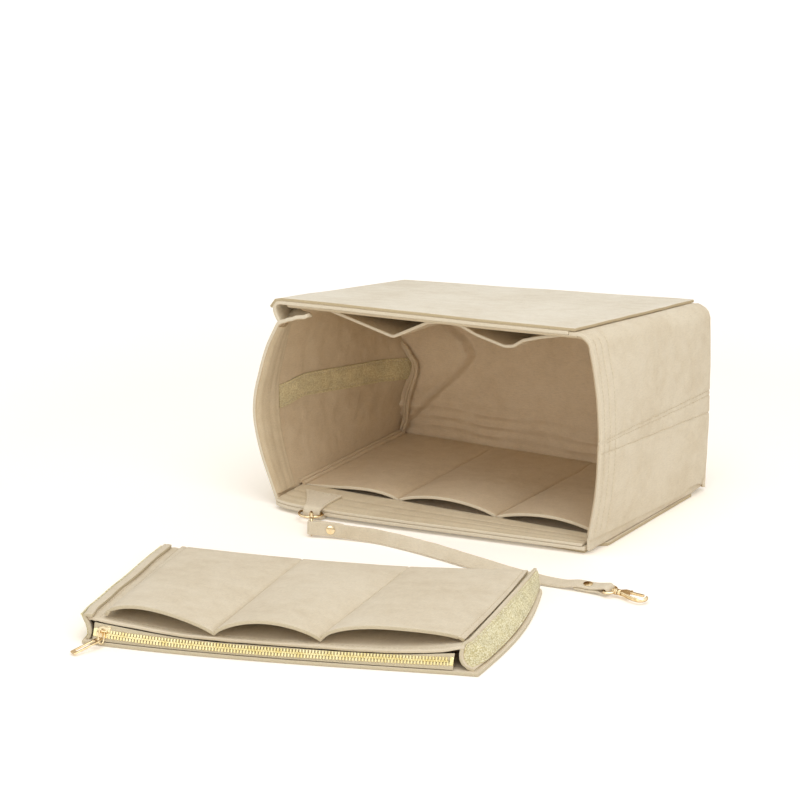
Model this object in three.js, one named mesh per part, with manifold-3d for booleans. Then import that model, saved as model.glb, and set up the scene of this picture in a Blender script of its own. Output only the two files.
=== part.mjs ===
// Felt purse organizer insert: an open case lying on one long wall, a zip pouch that is its
// removable divider, and a key strap with a swivel clasp at each end.
// Millimetres, +Z up. The origin is the centre of the face that the case lies on, the mouth of
// the case faces -Y, and its length runs along X.
import * as THREE from 'three';
import { mergeVertices } from 'three/addons/utils/BufferGeometryUtils.js';
import Module from 'manifold-3d';

const wasm = await Module();
wasm.setup();

// Felt and clearances
const wallFelt = 3;
const liningFelt = 2.5;
const tapeThickness = 1.2;
const seamGap = 0.3;
const facingGap = 0.5;
const cutOverrun = 2;
const weldTolerance = 0.0004;

// Case: length and height are over its sewn back edges. The mouth is a little wider and skewed, and
// its low and top corners are set in from the ends of the case.
const caseSize = { length: 298, depth: 206, backHeight: 150, backRise: 15 };
const mouth = {
  leftLow: 6,
  rightLow: 16,
  leftTop: 4,
  rightTop: 24,
  leftHeight: 169.5,
  rightHeight: 178.5,
  leftBow: 22,
  rightBow: 17,
  lipBow: 16,
};
const backBow = { left: 12, right: 2 };
const mouthSkewShare = 0.04;
const bowShare = 0.85;
const lipPeakShare = 0.41;
const facingDepth = 31;
const pocketSetback = 32;
const lowArch = 10;
const topSag = 21;
const archShare = 0.7;
const fadeShare = 0.75;
const outerPocket = { inset: 9, lowInset: 10, topInset: 16, lipInset: 8 };
const loopTape = { width: 20, leftMouth: 84, leftBack: 69, rightMouth: 86, rightBack: 78, backInset: 9 };

// Stations of height at which the end walls bend
const bendStations = 14;

// Key tab, sewn over the lip, and the D-ring in its fold
const keyTab = { x: -98, felt: 2.2, foldWidth: 16, rootWidth: 34, rootDepth: 37, underDepth: 13, lipGap: 1.4 };
const keyRing = { wire: 1, halfWidth: 10, leg: 3, setForward: 1.5 };
const claspHeading = THREE.MathUtils.degToRad(-58.7);

// Pouch, lying flat in front of the case and turned a little. Its ends are given from its middle, and
// the right end is longer and bows out.
const pouch = { x: 12, y: -320, leftDepth: 197, rightDepth: 185 };
const leftPouchEnd = { front: 141, back: 145, bow: 0 };
const rightPouchEnd = { front: 148, back: 161, bow: 8.5 };
const pouchTurn = THREE.MathUtils.degToRad(16.4);
const pouchTop = { left: 16.4, right: 12.4, frontSag: 3.6, backLeft: 5.2, backRight: 11.4, backSag: 3 };
const pouchPockets = { left: 13.5, right: 4, front: 10, back: 5, arch: 8.5 };
const leftGusset = { inset: 2, frontLean: -4.5, backLean: 2.4, frontHeight: 21.5, backHeight: 10.5 };
const rightGusset = { inset: 3, frontLean: 8.5, backLean: 1.5, frontHeight: 20, backHeight: 18 };
const gussetEndInset = 3;
const hookTape = { margin: 1.2, endInset: 5 };

// Zip: coordinates across the strip run from the lower tape up to the upper tape
const zip = {
  leftInset: 8,
  rightInset: 18,
  inset: 0.8,
  lowZ: 3.2,
  rise: 10,
  run: 5.8,
  tape: 0.8,
  toothWidth: 6,
  toothThickness: 2.4,
  toothPitch: 4.6,
  toothNotch: 0.5,
  stopLength: 3,
};
const slider = {
  length: 10,
  plate: 1.1,
  flange: 1,
  gap: 0.35,
  bridgeRise: 2.6,
  bridgeWire: 0.6,
  bridgeSpan: 7,
};
const shieldShares = { point: 0.62, waist: 0.2 };
const pullLink = { wire: 0.55, halfWidth: 2, length: 10.2 };
const pullTab = { length: 25, width: 6.4, thickness: 1.1, eye: 1.6, eyeInset: 2.4, slotLength: 14, slotWidth: 3 };
const tabShares = { nose: 0.55, corner: 0.6, round: 0.4 };
const pullTurn = THREE.MathUtils.degToRad(-38);
const pullTilt = THREE.MathUtils.degToRad(-33);
const tabTilt = THREE.MathUtils.degToRad(12);

// Key strap: places along its middle line, taken from the clasp's bar, and its lean from lying flat
const strap = { width: 11, thickness: 1.8, overlap: 27, closing: 9, layerGap: 0.4 };
const strapRoute = [
  { x: 0, y: 0, z: 7.5, lean: 88 },
  { x: 6, y: 2.7, z: 7.4, lean: 88 },
  { x: 17, y: 6, z: 7, lean: 87 },
  { x: 32, y: 9, z: 6.4, lean: 84 },
  { x: 53, y: 12.4, z: 5.8, lean: 77 },
  { x: 82, y: 10, z: 5.6, lean: 68 },
  { x: 107, y: 6, z: 5.4, lean: 60 },
  { x: 142, y: -1, z: 4.8, lean: 46 },
  { x: 177, y: -6.5, z: 3.8, lean: 30 },
  { x: 199, y: -7.5, z: 3, lean: 20 },
  { x: 226, y: -6, z: 2.4, lean: 10 },
  { x: 238, y: -5.6, z: 4.5, lean: 8 },
  { x: 252, y: -5.4, z: 4.6, lean: 6 },
  { x: 262, y: -6.4, z: 6.9, lean: 5 },
];
const rivetShares = { crown: 0.6, rise: 0.4 };
const rivet = { post: 1.3, cap: 3.7, dome: 0.9, inset: 16, clearance: 0.5 };

// Swivel clasp: u runs from the strap's bar to the tip of the hook, v across the hook
const clasp = {
  bar: 0.8,
  eyeHalfWidth: 7.2,
  eyeSide: 1.3,
  eyeInner: 6.4,
  eyeThickness: 1.8,
  boss: 2.5,
  bossEnd: 9.2,
  bore: 1.25,
  stud: 1,
  studHead: 1.9,
  studHeadStart: 4.7,
  studHeadEnd: 6.1,
  shankStart: 9.5,
  shank: 2.2,
  body: 3.4,
  slot: 2.1,
  gate: 1.6,
  pin: 0.6,
  pinHole: 0.74,
  pivotU: 16.4,
  pivotV: 2.3,
  tip: 35,
  clawU: 28.4,
  clawOuter: 6.1,
  clawInner: 4.2,
  ringGap: 0.7,
  ringDrop: 0.7,
};
const claspLowHeight = 3.4;
const gateCrownShare = 0.82;

// Turns any closed geometry into a welded solid whose faces point out
function closedSolid(geometry) {
  const bare = geometry.index ? geometry.clone() : mergeVertices(geometry);
  bare.deleteAttribute('normal');
  bare.deleteAttribute('uv');
  const solid = mergeVertices(bare, weldTolerance);
  const position = solid.attributes.position;
  const index = [];
  const a = new THREE.Vector3();
  const b = new THREE.Vector3();
  const c = new THREE.Vector3();
  let volume = 0;
  for (let i = 0; i < solid.index.count; i += 3) {
    const [p, q, r] = [0, 1, 2].map((step) => solid.index.getX(i + step));
    if (p === q || q === r || r === p) continue;
    a.fromBufferAttribute(position, p);
    b.fromBufferAttribute(position, q);
    c.fromBufferAttribute(position, r);
    volume += a.dot(b.cross(c));
    index.push(p, q, r);
  }
  if (volume < 0) index.reverse();
  solid.setIndex(index);
  solid.computeVertexNormals();
  return solid;
}

function toManifold(geometry) {
  const solid = closedSolid(geometry);
  const vertProperties = new Float32Array(solid.attributes.position.array);
  const triVerts = new Uint32Array(solid.index.array);
  return new wasm.Manifold(new wasm.Mesh({ numProp: 3, vertProperties, triVerts }));
}

function fromManifold(manifold) {
  const mesh = manifold.getMesh();
  const geometry = new THREE.BufferGeometry();
  geometry.setAttribute('position', new THREE.BufferAttribute(mesh.vertProperties, 3));
  geometry.setIndex([...mesh.triVerts]);
  geometry.computeVertexNormals();
  return geometry;
}

function cutFrom(body, ...cutters) {
  const cut = cutters.reduce((rest, cutter) => rest.subtract(toManifold(cutter)), toManifold(body));
  return fromManifold(cut);
}

function joined(first, ...others) {
  const sum = others.reduce((whole, other) => whole.add(toManifold(other)), toManifold(first));
  return fromManifold(sum);
}

// A sheet between two faces: each face gives a point for two shares from 0 to 1
function sheetBetween(lowFace, highFace, across, along) {
  const geometry = new THREE.BoxGeometry(1, 1, 1, across, along, 1);
  const position = geometry.attributes.position;
  for (let i = 0; i < position.count; i += 1) {
    const u = position.getX(i) + 0.5;
    const v = position.getY(i) + 0.5;
    const face = position.getZ(i) > 0 ? highFace : lowFace;
    position.setXYZ(i, ...face(u, v).toArray());
  }
  return closedSolid(geometry);
}

// A wire bent to a flat closed curve, made from a torus
function closedWire(curve, wire, sides, steps) {
  const geometry = new THREE.TorusGeometry(1, wire, sides, steps);
  const position = geometry.attributes.position;
  const points = curve.getSpacedPoints(steps);
  for (let j = 0; j <= sides; j += 1) {
    const turn = (j / sides) * 2 * Math.PI;
    for (let i = 0; i <= steps; i += 1) {
      const here = points[i % steps];
      const before = points[(i + steps - 1) % steps];
      const after = points[(i + 1) % steps];
      const outward = new THREE.Vector2(after.y - before.y, before.x - after.x).normalize();
      const reach = wire * Math.cos(turn);
      const place = j * (steps + 1) + i;
      position.setXYZ(place, here.x + outward.x * reach, here.y + outward.y * reach, wire * Math.sin(turn));
    }
  }
  return closedSolid(geometry);
}

function plate(shape, thickness, segments = 8) {
  const geometry = new THREE.ExtrudeGeometry(shape, {
    depth: thickness,
    bevelEnabled: false,
    curveSegments: segments,
  });
  return geometry.translate(0, 0, -thickness / 2);
}

const mix = THREE.MathUtils.lerp;
const sine = (share) => Math.max(0, Math.sin(Math.PI * share));
const halfDepth = caseSize.depth / 2;
const halfLength = caseSize.length / 2;
const lowWallBottom = liningFelt + seamGap;
const lowWallTop = lowWallBottom + wallFelt;
const lowLining = lowWallTop + seamGap;
const backInner = halfDepth - wallFelt;
const depthShare = (y) => (y + halfDepth) / caseSize.depth;

// Height of the outer face of the top wall at each end, and between them
function endHeight(side, y) {
  const front = side < 0 ? mouth.leftHeight : mouth.rightHeight;
  const back = caseSize.backHeight + (side * caseSize.backRise) / 2;
  return mix(front, back, depthShare(y));
}

// Bulge of an end wall, bent at the stations, for a share of its height
function bowAt(heightShare) {
  const station = THREE.MathUtils.clamp(heightShare, 0, 1) * bendStations;
  const low = Math.floor(station);
  const bulge = (place) => sine(place / bendStations) ** bowShare;
  return mix(bulge(low), bulge(low + 1), station - low);
}

// Outer face of an end wall at a depth and a share of its height
function endWallX(side, y, heightShare) {
  const lowInset = side < 0 ? mouth.leftLow : mouth.rightLow;
  const topInset = side < 0 ? mouth.leftTop : mouth.rightTop;
  const low = side * mix(halfLength - lowInset, halfLength, depthShare(y));
  const top = side * mix(halfLength - topInset, halfLength, depthShare(y));
  const front = side < 0 ? -mouth.leftBow : mouth.rightBow;
  const back = side < 0 ? backBow.left : backBow.right;
  const bow = mix(front, back, depthShare(y)) * bowAt(heightShare);
  return mix(low, top, heightShare) + bow;
}

function topOuter(x, y) {
  const left = endWallX(-1, y, 1);
  const right = endWallX(1, y, 1);
  return mix(endHeight(-1, y), endHeight(1, y), (x - left) / (right - left));
}

const mouthY = (x) => -halfDepth + mouthSkewShare * x;

function lipY(x) {
  const span = caseSize.length - mouth.leftLow - mouth.rightLow;
  const share = THREE.MathUtils.clamp((x + halfLength - mouth.leftLow) / span, 0, 1);
  return mouthY(x) - mouth.lipBow * sine(share ** lipPeakShare);
}

// Inner face of an end wall, at a height
function endWallInner(side, y, z) {
  return endWallX(side, y, z / endHeight(side, y)) - side * wallFelt;
}

const pieces = [];

function addPiece(parent, name, geometry, colour, roughness, metalness = 0) {
  const material = new THREE.MeshStandardMaterial({ color: colour, roughness, metalness });
  const mesh = new THREE.Mesh(geometry, material);
  mesh.name = name;
  parent.add(mesh);
  pieces.push(mesh);
  return mesh;
}

const group = new THREE.Group();
const feltColour = 0xdccfb2;
const paleFelt = 0xeae5d4;
const panelColour = 0xd8cbae;
const loopColour = 0xcdbd8e;
const hookColour = 0xd6c896;
const goldColour = 0xd9b977;
const toothColour = 0xe6cf7a;
const tapeColour = 0xdcc691;
const feltRough = 0.95;
const goldRough = 0.25;

// A wall or lining that lies flat or nearly flat: limits in X and Y, and its underside in Z
function levelSheet(xRange, yRange, underside, thickness, across, along) {
  const face = (offset) => (u, v) => {
    const roughX = mix(-halfLength, halfLength, u);
    const y = mix(yRange(roughX)[0], yRange(roughX)[1], v);
    const x = mix(xRange(y)[0], xRange(y)[1], u);
    return new THREE.Vector3(x, y, underside(x, y, u, v) + offset);
  };
  return sheetBetween(face(0), face(thickness), across, along);
}

function lowWall() {
  const xRange = (y) => [endWallX(-1, y, 0), endWallX(1, y, 0)];
  const yRange = (x) => [lipY(x), backInner - seamGap];
  return levelSheet(xRange, yRange, () => lowWallBottom, wallFelt, 20, 4);
}

function topWall() {
  const xRange = (y) => [endWallX(-1, y, 1), endWallX(1, y, 1)];
  const yRange = (x) => [mouthY(x), backInner - seamGap];
  return levelSheet(xRange, yRange, (x, y) => topOuter(x, y) - wallFelt, wallFelt, 8, 6);
}

function endWall(side) {
  const point = (offset) => (u, v) => {
    const outerX = endWallX(side, 0, v);
    const y = mix(mouthY(outerX), backInner - seamGap, u);
    const height = endHeight(side, y);
    const z = THREE.MathUtils.clamp(v * height, lowLining, height - wallFelt - seamGap);
    return new THREE.Vector3(endWallX(side, y, z / height) - side * offset, y, z);
  };
  return sheetBetween(point(0), point(wallFelt), 8, bendStations);
}

function basePanel() {
  const point = (y) => (u, v) => {
    const x = mix(-halfLength, halfLength, u);
    return new THREE.Vector3(x, y, mix(lowWallBottom, topOuter(x, halfDepth), v));
  };
  return sheetBetween(point(backInner), point(halfDepth), 2, 2);
}

function lowOuterPocket() {
  const xRange = (y) => [
    endWallX(-1, y, 0) + outerPocket.inset,
    halfLength - mix(mouth.rightLow, outerPocket.lowInset, depthShare(y)),
  ];
  const yRange = () => [-halfDepth + outerPocket.lipInset, halfDepth - wallFelt];
  return levelSheet(xRange, yRange, () => 0, liningFelt, 4, 4);
}

function topOuterPocket() {
  const xRange = (y) => [
    endWallX(-1, y, 1),
    halfLength - mix(mouth.rightTop, outerPocket.topInset, depthShare(y)),
  ];
  const yRange = (x) => [mouthY(x), halfDepth];
  return levelSheet(xRange, yRange, (x, y) => topOuter(x, y) + seamGap, liningFelt, 8, 6);
}

// Facings stiffen the inside of the mouth, one strip on each wall
function lowFacing() {
  const xRange = (y) => [
    endWallX(-1, y, 0) + wallFelt + seamGap,
    endWallX(1, y, 0) - wallFelt - seamGap,
  ];
  const yRange = (x) => [lipY(x), -halfDepth + facingDepth];
  return levelSheet(xRange, yRange, () => lowLining, liningFelt, 20, 2);
}

function topFacing() {
  const xRange = (y) => [
    endWallX(-1, y, 1) + wallFelt + seamGap,
    endWallX(1, y, 1) - wallFelt - seamGap,
  ];
  const yRange = (x) => [mouthY(x), -halfDepth + facingDepth];
  const underside = (x, y) => topOuter(x, y) - wallFelt - seamGap - liningFelt;
  return levelSheet(xRange, yRange, underside, liningFelt, 8, 2);
}

function endFacing(side) {
  const point = (offset) => (u, v) => {
    const outerX = endWallX(side, -halfDepth, v);
    const y = mix(mouthY(outerX), -halfDepth + facingDepth, u);
    const height = endHeight(side, y);
    const low = lowLining + liningFelt + seamGap;
    const high = height - wallFelt - liningFelt - 3 * seamGap;
    const z = THREE.MathUtils.clamp(v * height, low, high);
    const x = endWallInner(side, y, z) - side * (facingGap + offset);
    return new THREE.Vector3(x, y, z);
  };
  return sheetBetween(point(0), point(liningFelt), 2, bendStations);
}

// How far a slip pocket's mouth stands off its wall, for a share of the way along the panel
function pocketStand(share, count, height, shape) {
  const within = (share * count) % 1;
  return share >= 1 ? 0 : height * shape(within);
}

const archShape = (within) => sine(within) ** archShare;
const creaseShape = (within) => 1 - Math.abs(2 * within - 1);
const lowPocketCount = 3;
const topPocketCount = 2;

function lowInnerPockets() {
  const clearance = (y, side) => {
    const heights = [lowLining, lowLining + 2 * liningFelt];
    const faces = heights.map((z) => side * endWallInner(side, y, z));
    return side * (Math.min(...faces) - seamGap);
  };
  const xRange = (y) => [clearance(y, -1), clearance(y, 1)];
  const yRange = () => [-halfDepth + pocketSetback, backInner - seamGap];
  const stand = (x, y, u, v) => {
    const fade = (1 - v) ** fadeShare;
    return lowLining + pocketStand(u, lowPocketCount, lowArch, archShape) * fade;
  };
  return levelSheet(xRange, yRange, stand, liningFelt, 24, 6);
}

function topInnerPockets() {
  const clearance = (y, side) => {
    const drop = wallFelt + seamGap;
    const heights = [drop, drop + liningFelt].map((below) => endHeight(side, y) - below);
    const faces = heights.map((z) => side * endWallInner(side, y, z));
    return side * (Math.min(...faces) - seamGap);
  };
  const xRange = (y) => [clearance(y, -1), clearance(y, 1)];
  const yRange = () => [-halfDepth + pocketSetback, backInner - seamGap];
  const hang = (x, y, u, v) => {
    const fade = (1 - v) ** fadeShare;
    const sag = pocketStand(u, topPocketCount, topSag, creaseShape) * fade;
    return topOuter(x, y) - wallFelt - seamGap - liningFelt - sag;
  };
  return levelSheet(xRange, yRange, hang, liningFelt, 16, 6);
}

// Loop tape on an end wall, which the pouch's hook tape grips
function endLoopTape(side) {
  const front = side < 0 ? loopTape.leftMouth : loopTape.rightMouth;
  const back = side < 0 ? loopTape.leftBack : loopTape.rightBack;
  const point = (offset) => (u, v) => {
    const y = mix(-halfDepth + pocketSetback, backInner - loopTape.backInset, u);
    const z = mix(front, back, u) + mix(-loopTape.width, loopTape.width, v) / 2;
    const x = endWallInner(side, y, z) - side * (seamGap + offset);
    return new THREE.Vector3(x, y, z);
  };
  return sheetBetween(point(0), point(tapeThickness), 8, 2);
}

const tabLow = seamGap;
const tabTop = lowLining + liningFelt + seamGap + keyTab.felt;
const foldRadius = (tabTop - tabLow) / 2;
const foldZ = (tabTop + tabLow) / 2;
const foldY = lipY(keyTab.x) - keyTab.lipGap;
const ringBarY = foldY - keyRing.setForward;

function keyTabSolid() {
  const rootY = foldY + keyTab.rootDepth;
  const underY = foldY + keyTab.underDepth;
  const inner = foldRadius - keyTab.felt;
  const shape = new THREE.Shape();
  shape.moveTo(rootY, foldZ + foldRadius);
  shape.lineTo(foldY, foldZ + foldRadius);
  shape.absarc(foldY, foldZ, foldRadius, Math.PI / 2, 1.5 * Math.PI, false);
  shape.lineTo(underY, foldZ - foldRadius);
  shape.lineTo(underY, foldZ - inner);
  shape.lineTo(foldY, foldZ - inner);
  shape.absarc(foldY, foldZ, inner, 1.5 * Math.PI, Math.PI / 2, true);
  shape.lineTo(rootY, foldZ + inner);
  const geometry = plate(shape, 1, 8);
  const position = geometry.attributes.position;
  for (let i = 0; i < position.count; i += 1) {
    const y = position.getX(i);
    const z = position.getY(i);
    const onTop = z > foldZ ? Math.max(0, (y - foldY) / keyTab.rootDepth) : 0;
    const width = mix(keyTab.foldWidth, keyTab.rootWidth, onTop);
    position.setXYZ(i, keyTab.x + position.getZ(i) * width, y, z);
  }
  return closedSolid(geometry);
}

function keyRingSolid() {
  const { halfWidth, leg } = keyRing;
  const corner = leg / 2;
  const shape = new THREE.Shape();
  shape.moveTo(halfWidth - corner, 0);
  shape.lineTo(corner - halfWidth, 0);
  shape.quadraticCurveTo(-halfWidth, 0, -halfWidth, -corner);
  shape.lineTo(-halfWidth, -leg);
  shape.absarc(0, -leg, halfWidth, Math.PI, 2 * Math.PI, false);
  shape.lineTo(halfWidth, -corner);
  shape.quadraticCurveTo(halfWidth, 0, halfWidth - corner, 0);
  return closedWire(shape, keyRing.wire, 8, 36).translate(keyTab.x, ringBarY, foldZ);
}

const walls = new THREE.Group();
group.add(walls);
addPiece(walls, 'front_wall', lowWall(), feltColour, feltRough);
addPiece(walls, 'back_wall', topWall(), feltColour, feltRough);
addPiece(walls, 'left_end_wall', endWall(-1), feltColour, feltRough);
addPiece(walls, 'right_end_wall', endWall(1), feltColour, feltRough);
addPiece(walls, 'base_panel', basePanel(), feltColour, feltRough);
addPiece(walls, 'front_outer_pocket', lowOuterPocket(), feltColour, feltRough);
addPiece(walls, 'back_outer_pocket', topOuterPocket(), paleFelt, feltRough);
addPiece(walls, 'front_rim_facing', lowFacing(), feltColour, feltRough);
addPiece(walls, 'back_rim_facing', topFacing(), feltColour, feltRough);
addPiece(walls, 'left_rim_facing', endFacing(-1), feltColour, feltRough);
addPiece(walls, 'right_rim_facing', endFacing(1), feltColour, feltRough);
addPiece(walls, 'front_inner_pockets', lowInnerPockets(), panelColour, feltRough);
addPiece(walls, 'back_inner_pockets', topInnerPockets(), panelColour, feltRough);
addPiece(walls, 'left_loop_tape', endLoopTape(-1), loopColour, feltRough);
addPiece(walls, 'right_loop_tape', endLoopTape(1), loopColour, feltRough);
addPiece(walls, 'key_tab', keyTabSolid(), feltColour, feltRough);
addPiece(walls, 'key_ring', keyRingSolid(), goldColour, goldRough, 1);

// Pouch, in its own frame: X along the zip, -Y towards the zip, Z up from the floor
const pouchGroup = new THREE.Group();
pouchGroup.position.set(pouch.x, pouch.y, 0);
pouchGroup.rotation.z = pouchTurn;
group.add(pouchGroup);

const pouchFront = -Math.min(pouch.leftDepth, pouch.rightDepth) / 2;
const gussets = { '-1': leftGusset, 1: rightGusset };
const pouchEnds = { '-1': leftPouchEnd, 1: rightPouchEnd };
const pouchLow = liningFelt + seamGap;

const pouchBack = (across) => pouchFront + mix(pouch.leftDepth, pouch.rightDepth, across);

// A share of the pouch's depth for a place, and how far an end reaches from the middle there
const pouchDepthShare = (y, across) => (y - pouchFront) / (pouchBack(across) - pouchFront);
const pouchBow = (side, share) => pouchEnds[side].bow * sine(share);

function pouchReach(side, share) {
  return mix(pouchEnds[side].front, pouchEnds[side].back, share) + pouchBow(side, share);
}

// Outer face of a gusset at a share of the pouch's depth and a height. Its top edge stays straight
// where the pouch's end bows.
function gussetX(side, share, z) {
  const { inset, frontLean, backLean } = gussets[side];
  const rise = (z - pouchLow) / (gussetHeight(side, share) - pouchLow);
  const lean = mix(frontLean, backLean, share) + pouchBow(side, share);
  return side * (pouchReach(side, share) - inset - lean * rise);
}

function gussetHeight(side, share) {
  return mix(gussets[side].frontHeight, gussets[side].backHeight, share);
}

const zipBottom = pouchFront + zip.inset;
const pouchTopFront = zipBottom + zip.run + 2 * seamGap;

// Underside of the pouch's upper panel, which sags between its ends along the zip
function pouchTopUnderside(across, share) {
  const front = mix(pouchTop.left, pouchTop.right, across) - pouchTop.frontSag * sine(across);
  const back = mix(pouchTop.backLeft, pouchTop.backRight, across) - pouchTop.backSag * sine(across);
  return mix(front, back, share);
}

// A panel between two sides, from a depth at the front to an inset at the back
function pouchSheet(sides, front, backInset, underside, thickness, across, along) {
  const face = (offset) => (u, v) => {
    const y = mix(front, pouchBack(u) - backInset, v);
    const share = pouchDepthShare(y, u);
    const x = mix(sides(-1, share), sides(1, share), u);
    return new THREE.Vector3(x, y, underside(u, v, share) + offset);
  };
  return sheetBetween(face(0), face(thickness), across, along);
}

function pouchLowPanel() {
  const sides = (side, share) => side * pouchReach(side, share);
  return pouchSheet(sides, pouchFront, 0, () => 0, liningFelt, 2, 10);
}

function pouchTopSide(side, share) {
  const low = pouchTopUnderside((side + 1) / 2, share);
  const faces = [low, low + liningFelt].map((z) => side * gussetX(side, share, z));
  return side * (Math.min(...faces) - liningFelt - seamGap);
}

function pouchTopPanel() {
  const underside = (u, v, share) => pouchTopUnderside(u, share);
  return pouchSheet(pouchTopSide, pouchTopFront, 0, underside, liningFelt, 12, 8);
}

function pouchPocketPanel() {
  const sides = (side, share) => {
    return pouchTopSide(side, share) - side * (side < 0 ? pouchPockets.left : pouchPockets.right);
  };
  const stand = (u, v, share) => {
    const arch = pocketStand(u, lowPocketCount, pouchPockets.arch, archShape) * (1 - v) ** fadeShare;
    const x = mix(sides(-1, share), sides(1, share), u);
    const across = (x - pouchTopSide(-1, share)) / (pouchTopSide(1, share) - pouchTopSide(-1, share));
    return pouchTopUnderside(across, share) + liningFelt + 2 * seamGap + arch;
  };
  const front = pouchFront + pouchPockets.front;
  return pouchSheet(sides, front, pouchPockets.back, stand, liningFelt, 24, 6);
}

// The bottom gusset closes the edge away from the zip
function bottomGusset() {
  const face = (offset) => (u, v) => {
    const y = pouchBack(u) - gussetEndInset + offset;
    const share = pouchDepthShare(y, u);
    const side = (place) => gussetX(place, share, pouchLow) - place * (liningFelt + seamGap);
    const x = mix(side(-1), side(1), u);
    return new THREE.Vector3(x, y, mix(pouchLow, pouchTopUnderside(u, share) - seamGap, v));
  };
  return sheetBetween(face(0), face(liningFelt), 12, 1);
}

// A gusset joins the two panels at one end, and carries a hook tape on its outer face
function gussetSheet(side, endInset, lowMargin, highMargin, near, far) {
  const across = (side + 1) / 2;
  const point = (outward) => (u, v) => {
    const y = mix(pouchFront + endInset, pouchBack(across) - endInset, u);
    const share = pouchDepthShare(y, across);
    const z = mix(pouchLow + lowMargin, gussetHeight(side, share) - highMargin, v);
    return new THREE.Vector3(gussetX(side, share, z) + side * outward, y, z);
  };
  return sheetBetween(point(near), point(far), 16, 3);
}

function endGusset(side) {
  return gussetSheet(side, gussetEndInset, 0, 0, -liningFelt, 0);
}

function hookTapeSheet(side) {
  const { margin, endInset } = hookTape;
  return gussetSheet(side, endInset, margin, margin, seamGap, seamGap + tapeThickness);
}

addPiece(pouchGroup, 'pouch_back_panel', pouchLowPanel(), feltColour, feltRough);
addPiece(pouchGroup, 'pouch_front_panel', pouchTopPanel(), feltColour, feltRough);
addPiece(pouchGroup, 'pouch_slip_pockets', pouchPocketPanel(), panelColour, feltRough);
addPiece(pouchGroup, 'pouch_left_gusset', endGusset(-1), feltColour, feltRough);
addPiece(pouchGroup, 'pouch_right_gusset', endGusset(1), feltColour, feltRough);
addPiece(pouchGroup, 'pouch_bottom_gusset', bottomGusset(), feltColour, feltRough);
addPiece(pouchGroup, 'pouch_left_hook_tape', hookTapeSheet(-1), hookColour, feltRough);
addPiece(pouchGroup, 'pouch_right_hook_tape', hookTapeSheet(1), hookColour, feltRough);

// The zip strip: x along the pouch, y up the slope of the strip, z out of it
const zipSlope = Math.hypot(zip.run, zip.rise);
const zipLeft = zip.leftInset - leftPouchEnd.front;
const zipRight = rightPouchEnd.front - zip.rightInset;
const zipGroup = new THREE.Group();
zipGroup.position.set(0, zipBottom, zip.lowZ);
zipGroup.rotation.x = Math.atan2(zip.rise, zip.run);
pouchGroup.add(zipGroup);
const zipMiddle = zipSlope / 2;
const toothHalf = zip.toothWidth / 2;

function zipTape(low, high) {
  const middle = (zipRight + zipLeft) / 2;
  return new THREE.BoxGeometry(zipRight - zipLeft, high - low, zip.tape)
    .translate(middle, (high + low) / 2, 0);
}

// The closed chain is one bar whose edges are notched between the teeth
function zipTeeth() {
  const start = zipLeft + zip.stopLength + seamGap;
  const end = zipRight - zip.stopLength - seamGap;
  const count = Math.round((end - start) / zip.toothPitch);
  const pitch = (end - start) / count;
  const shape = new THREE.Shape();
  shape.moveTo(start, -toothHalf);
  for (let i = 0; i < count; i += 1) {
    const next = start + (i + 1) * pitch;
    shape.lineTo(next - pitch / 2, -toothHalf);
    if (i < count - 1) shape.lineTo(next - pitch / 4, zip.toothNotch - toothHalf);
    shape.lineTo(next, -toothHalf);
  }
  for (let i = count; i > 0; i -= 1) {
    const here = start + i * pitch;
    shape.lineTo(here, toothHalf);
    if (i < count) shape.lineTo(here - pitch / 4, toothHalf - zip.toothNotch);
    shape.lineTo(here - pitch / 2, toothHalf);
  }
  shape.lineTo(start, toothHalf);
  return plate(shape, zip.toothThickness).translate(0, zipMiddle, 0);
}

function zipStop(x) {
  return new THREE.BoxGeometry(zip.stopLength, zip.toothWidth, zip.toothThickness)
    .translate(x, zipMiddle, 0);
}

const sliderPlateLow = zip.toothThickness / 2 + slider.gap;
const sliderPlateTop = sliderPlateLow + slider.plate;
const sliderX = zipLeft + zip.stopLength + slider.length / 2;
const bridgeHeight = sliderPlateTop + slider.bridgeRise;
const sliderReach = toothHalf + slider.gap + slider.flange;

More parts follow.
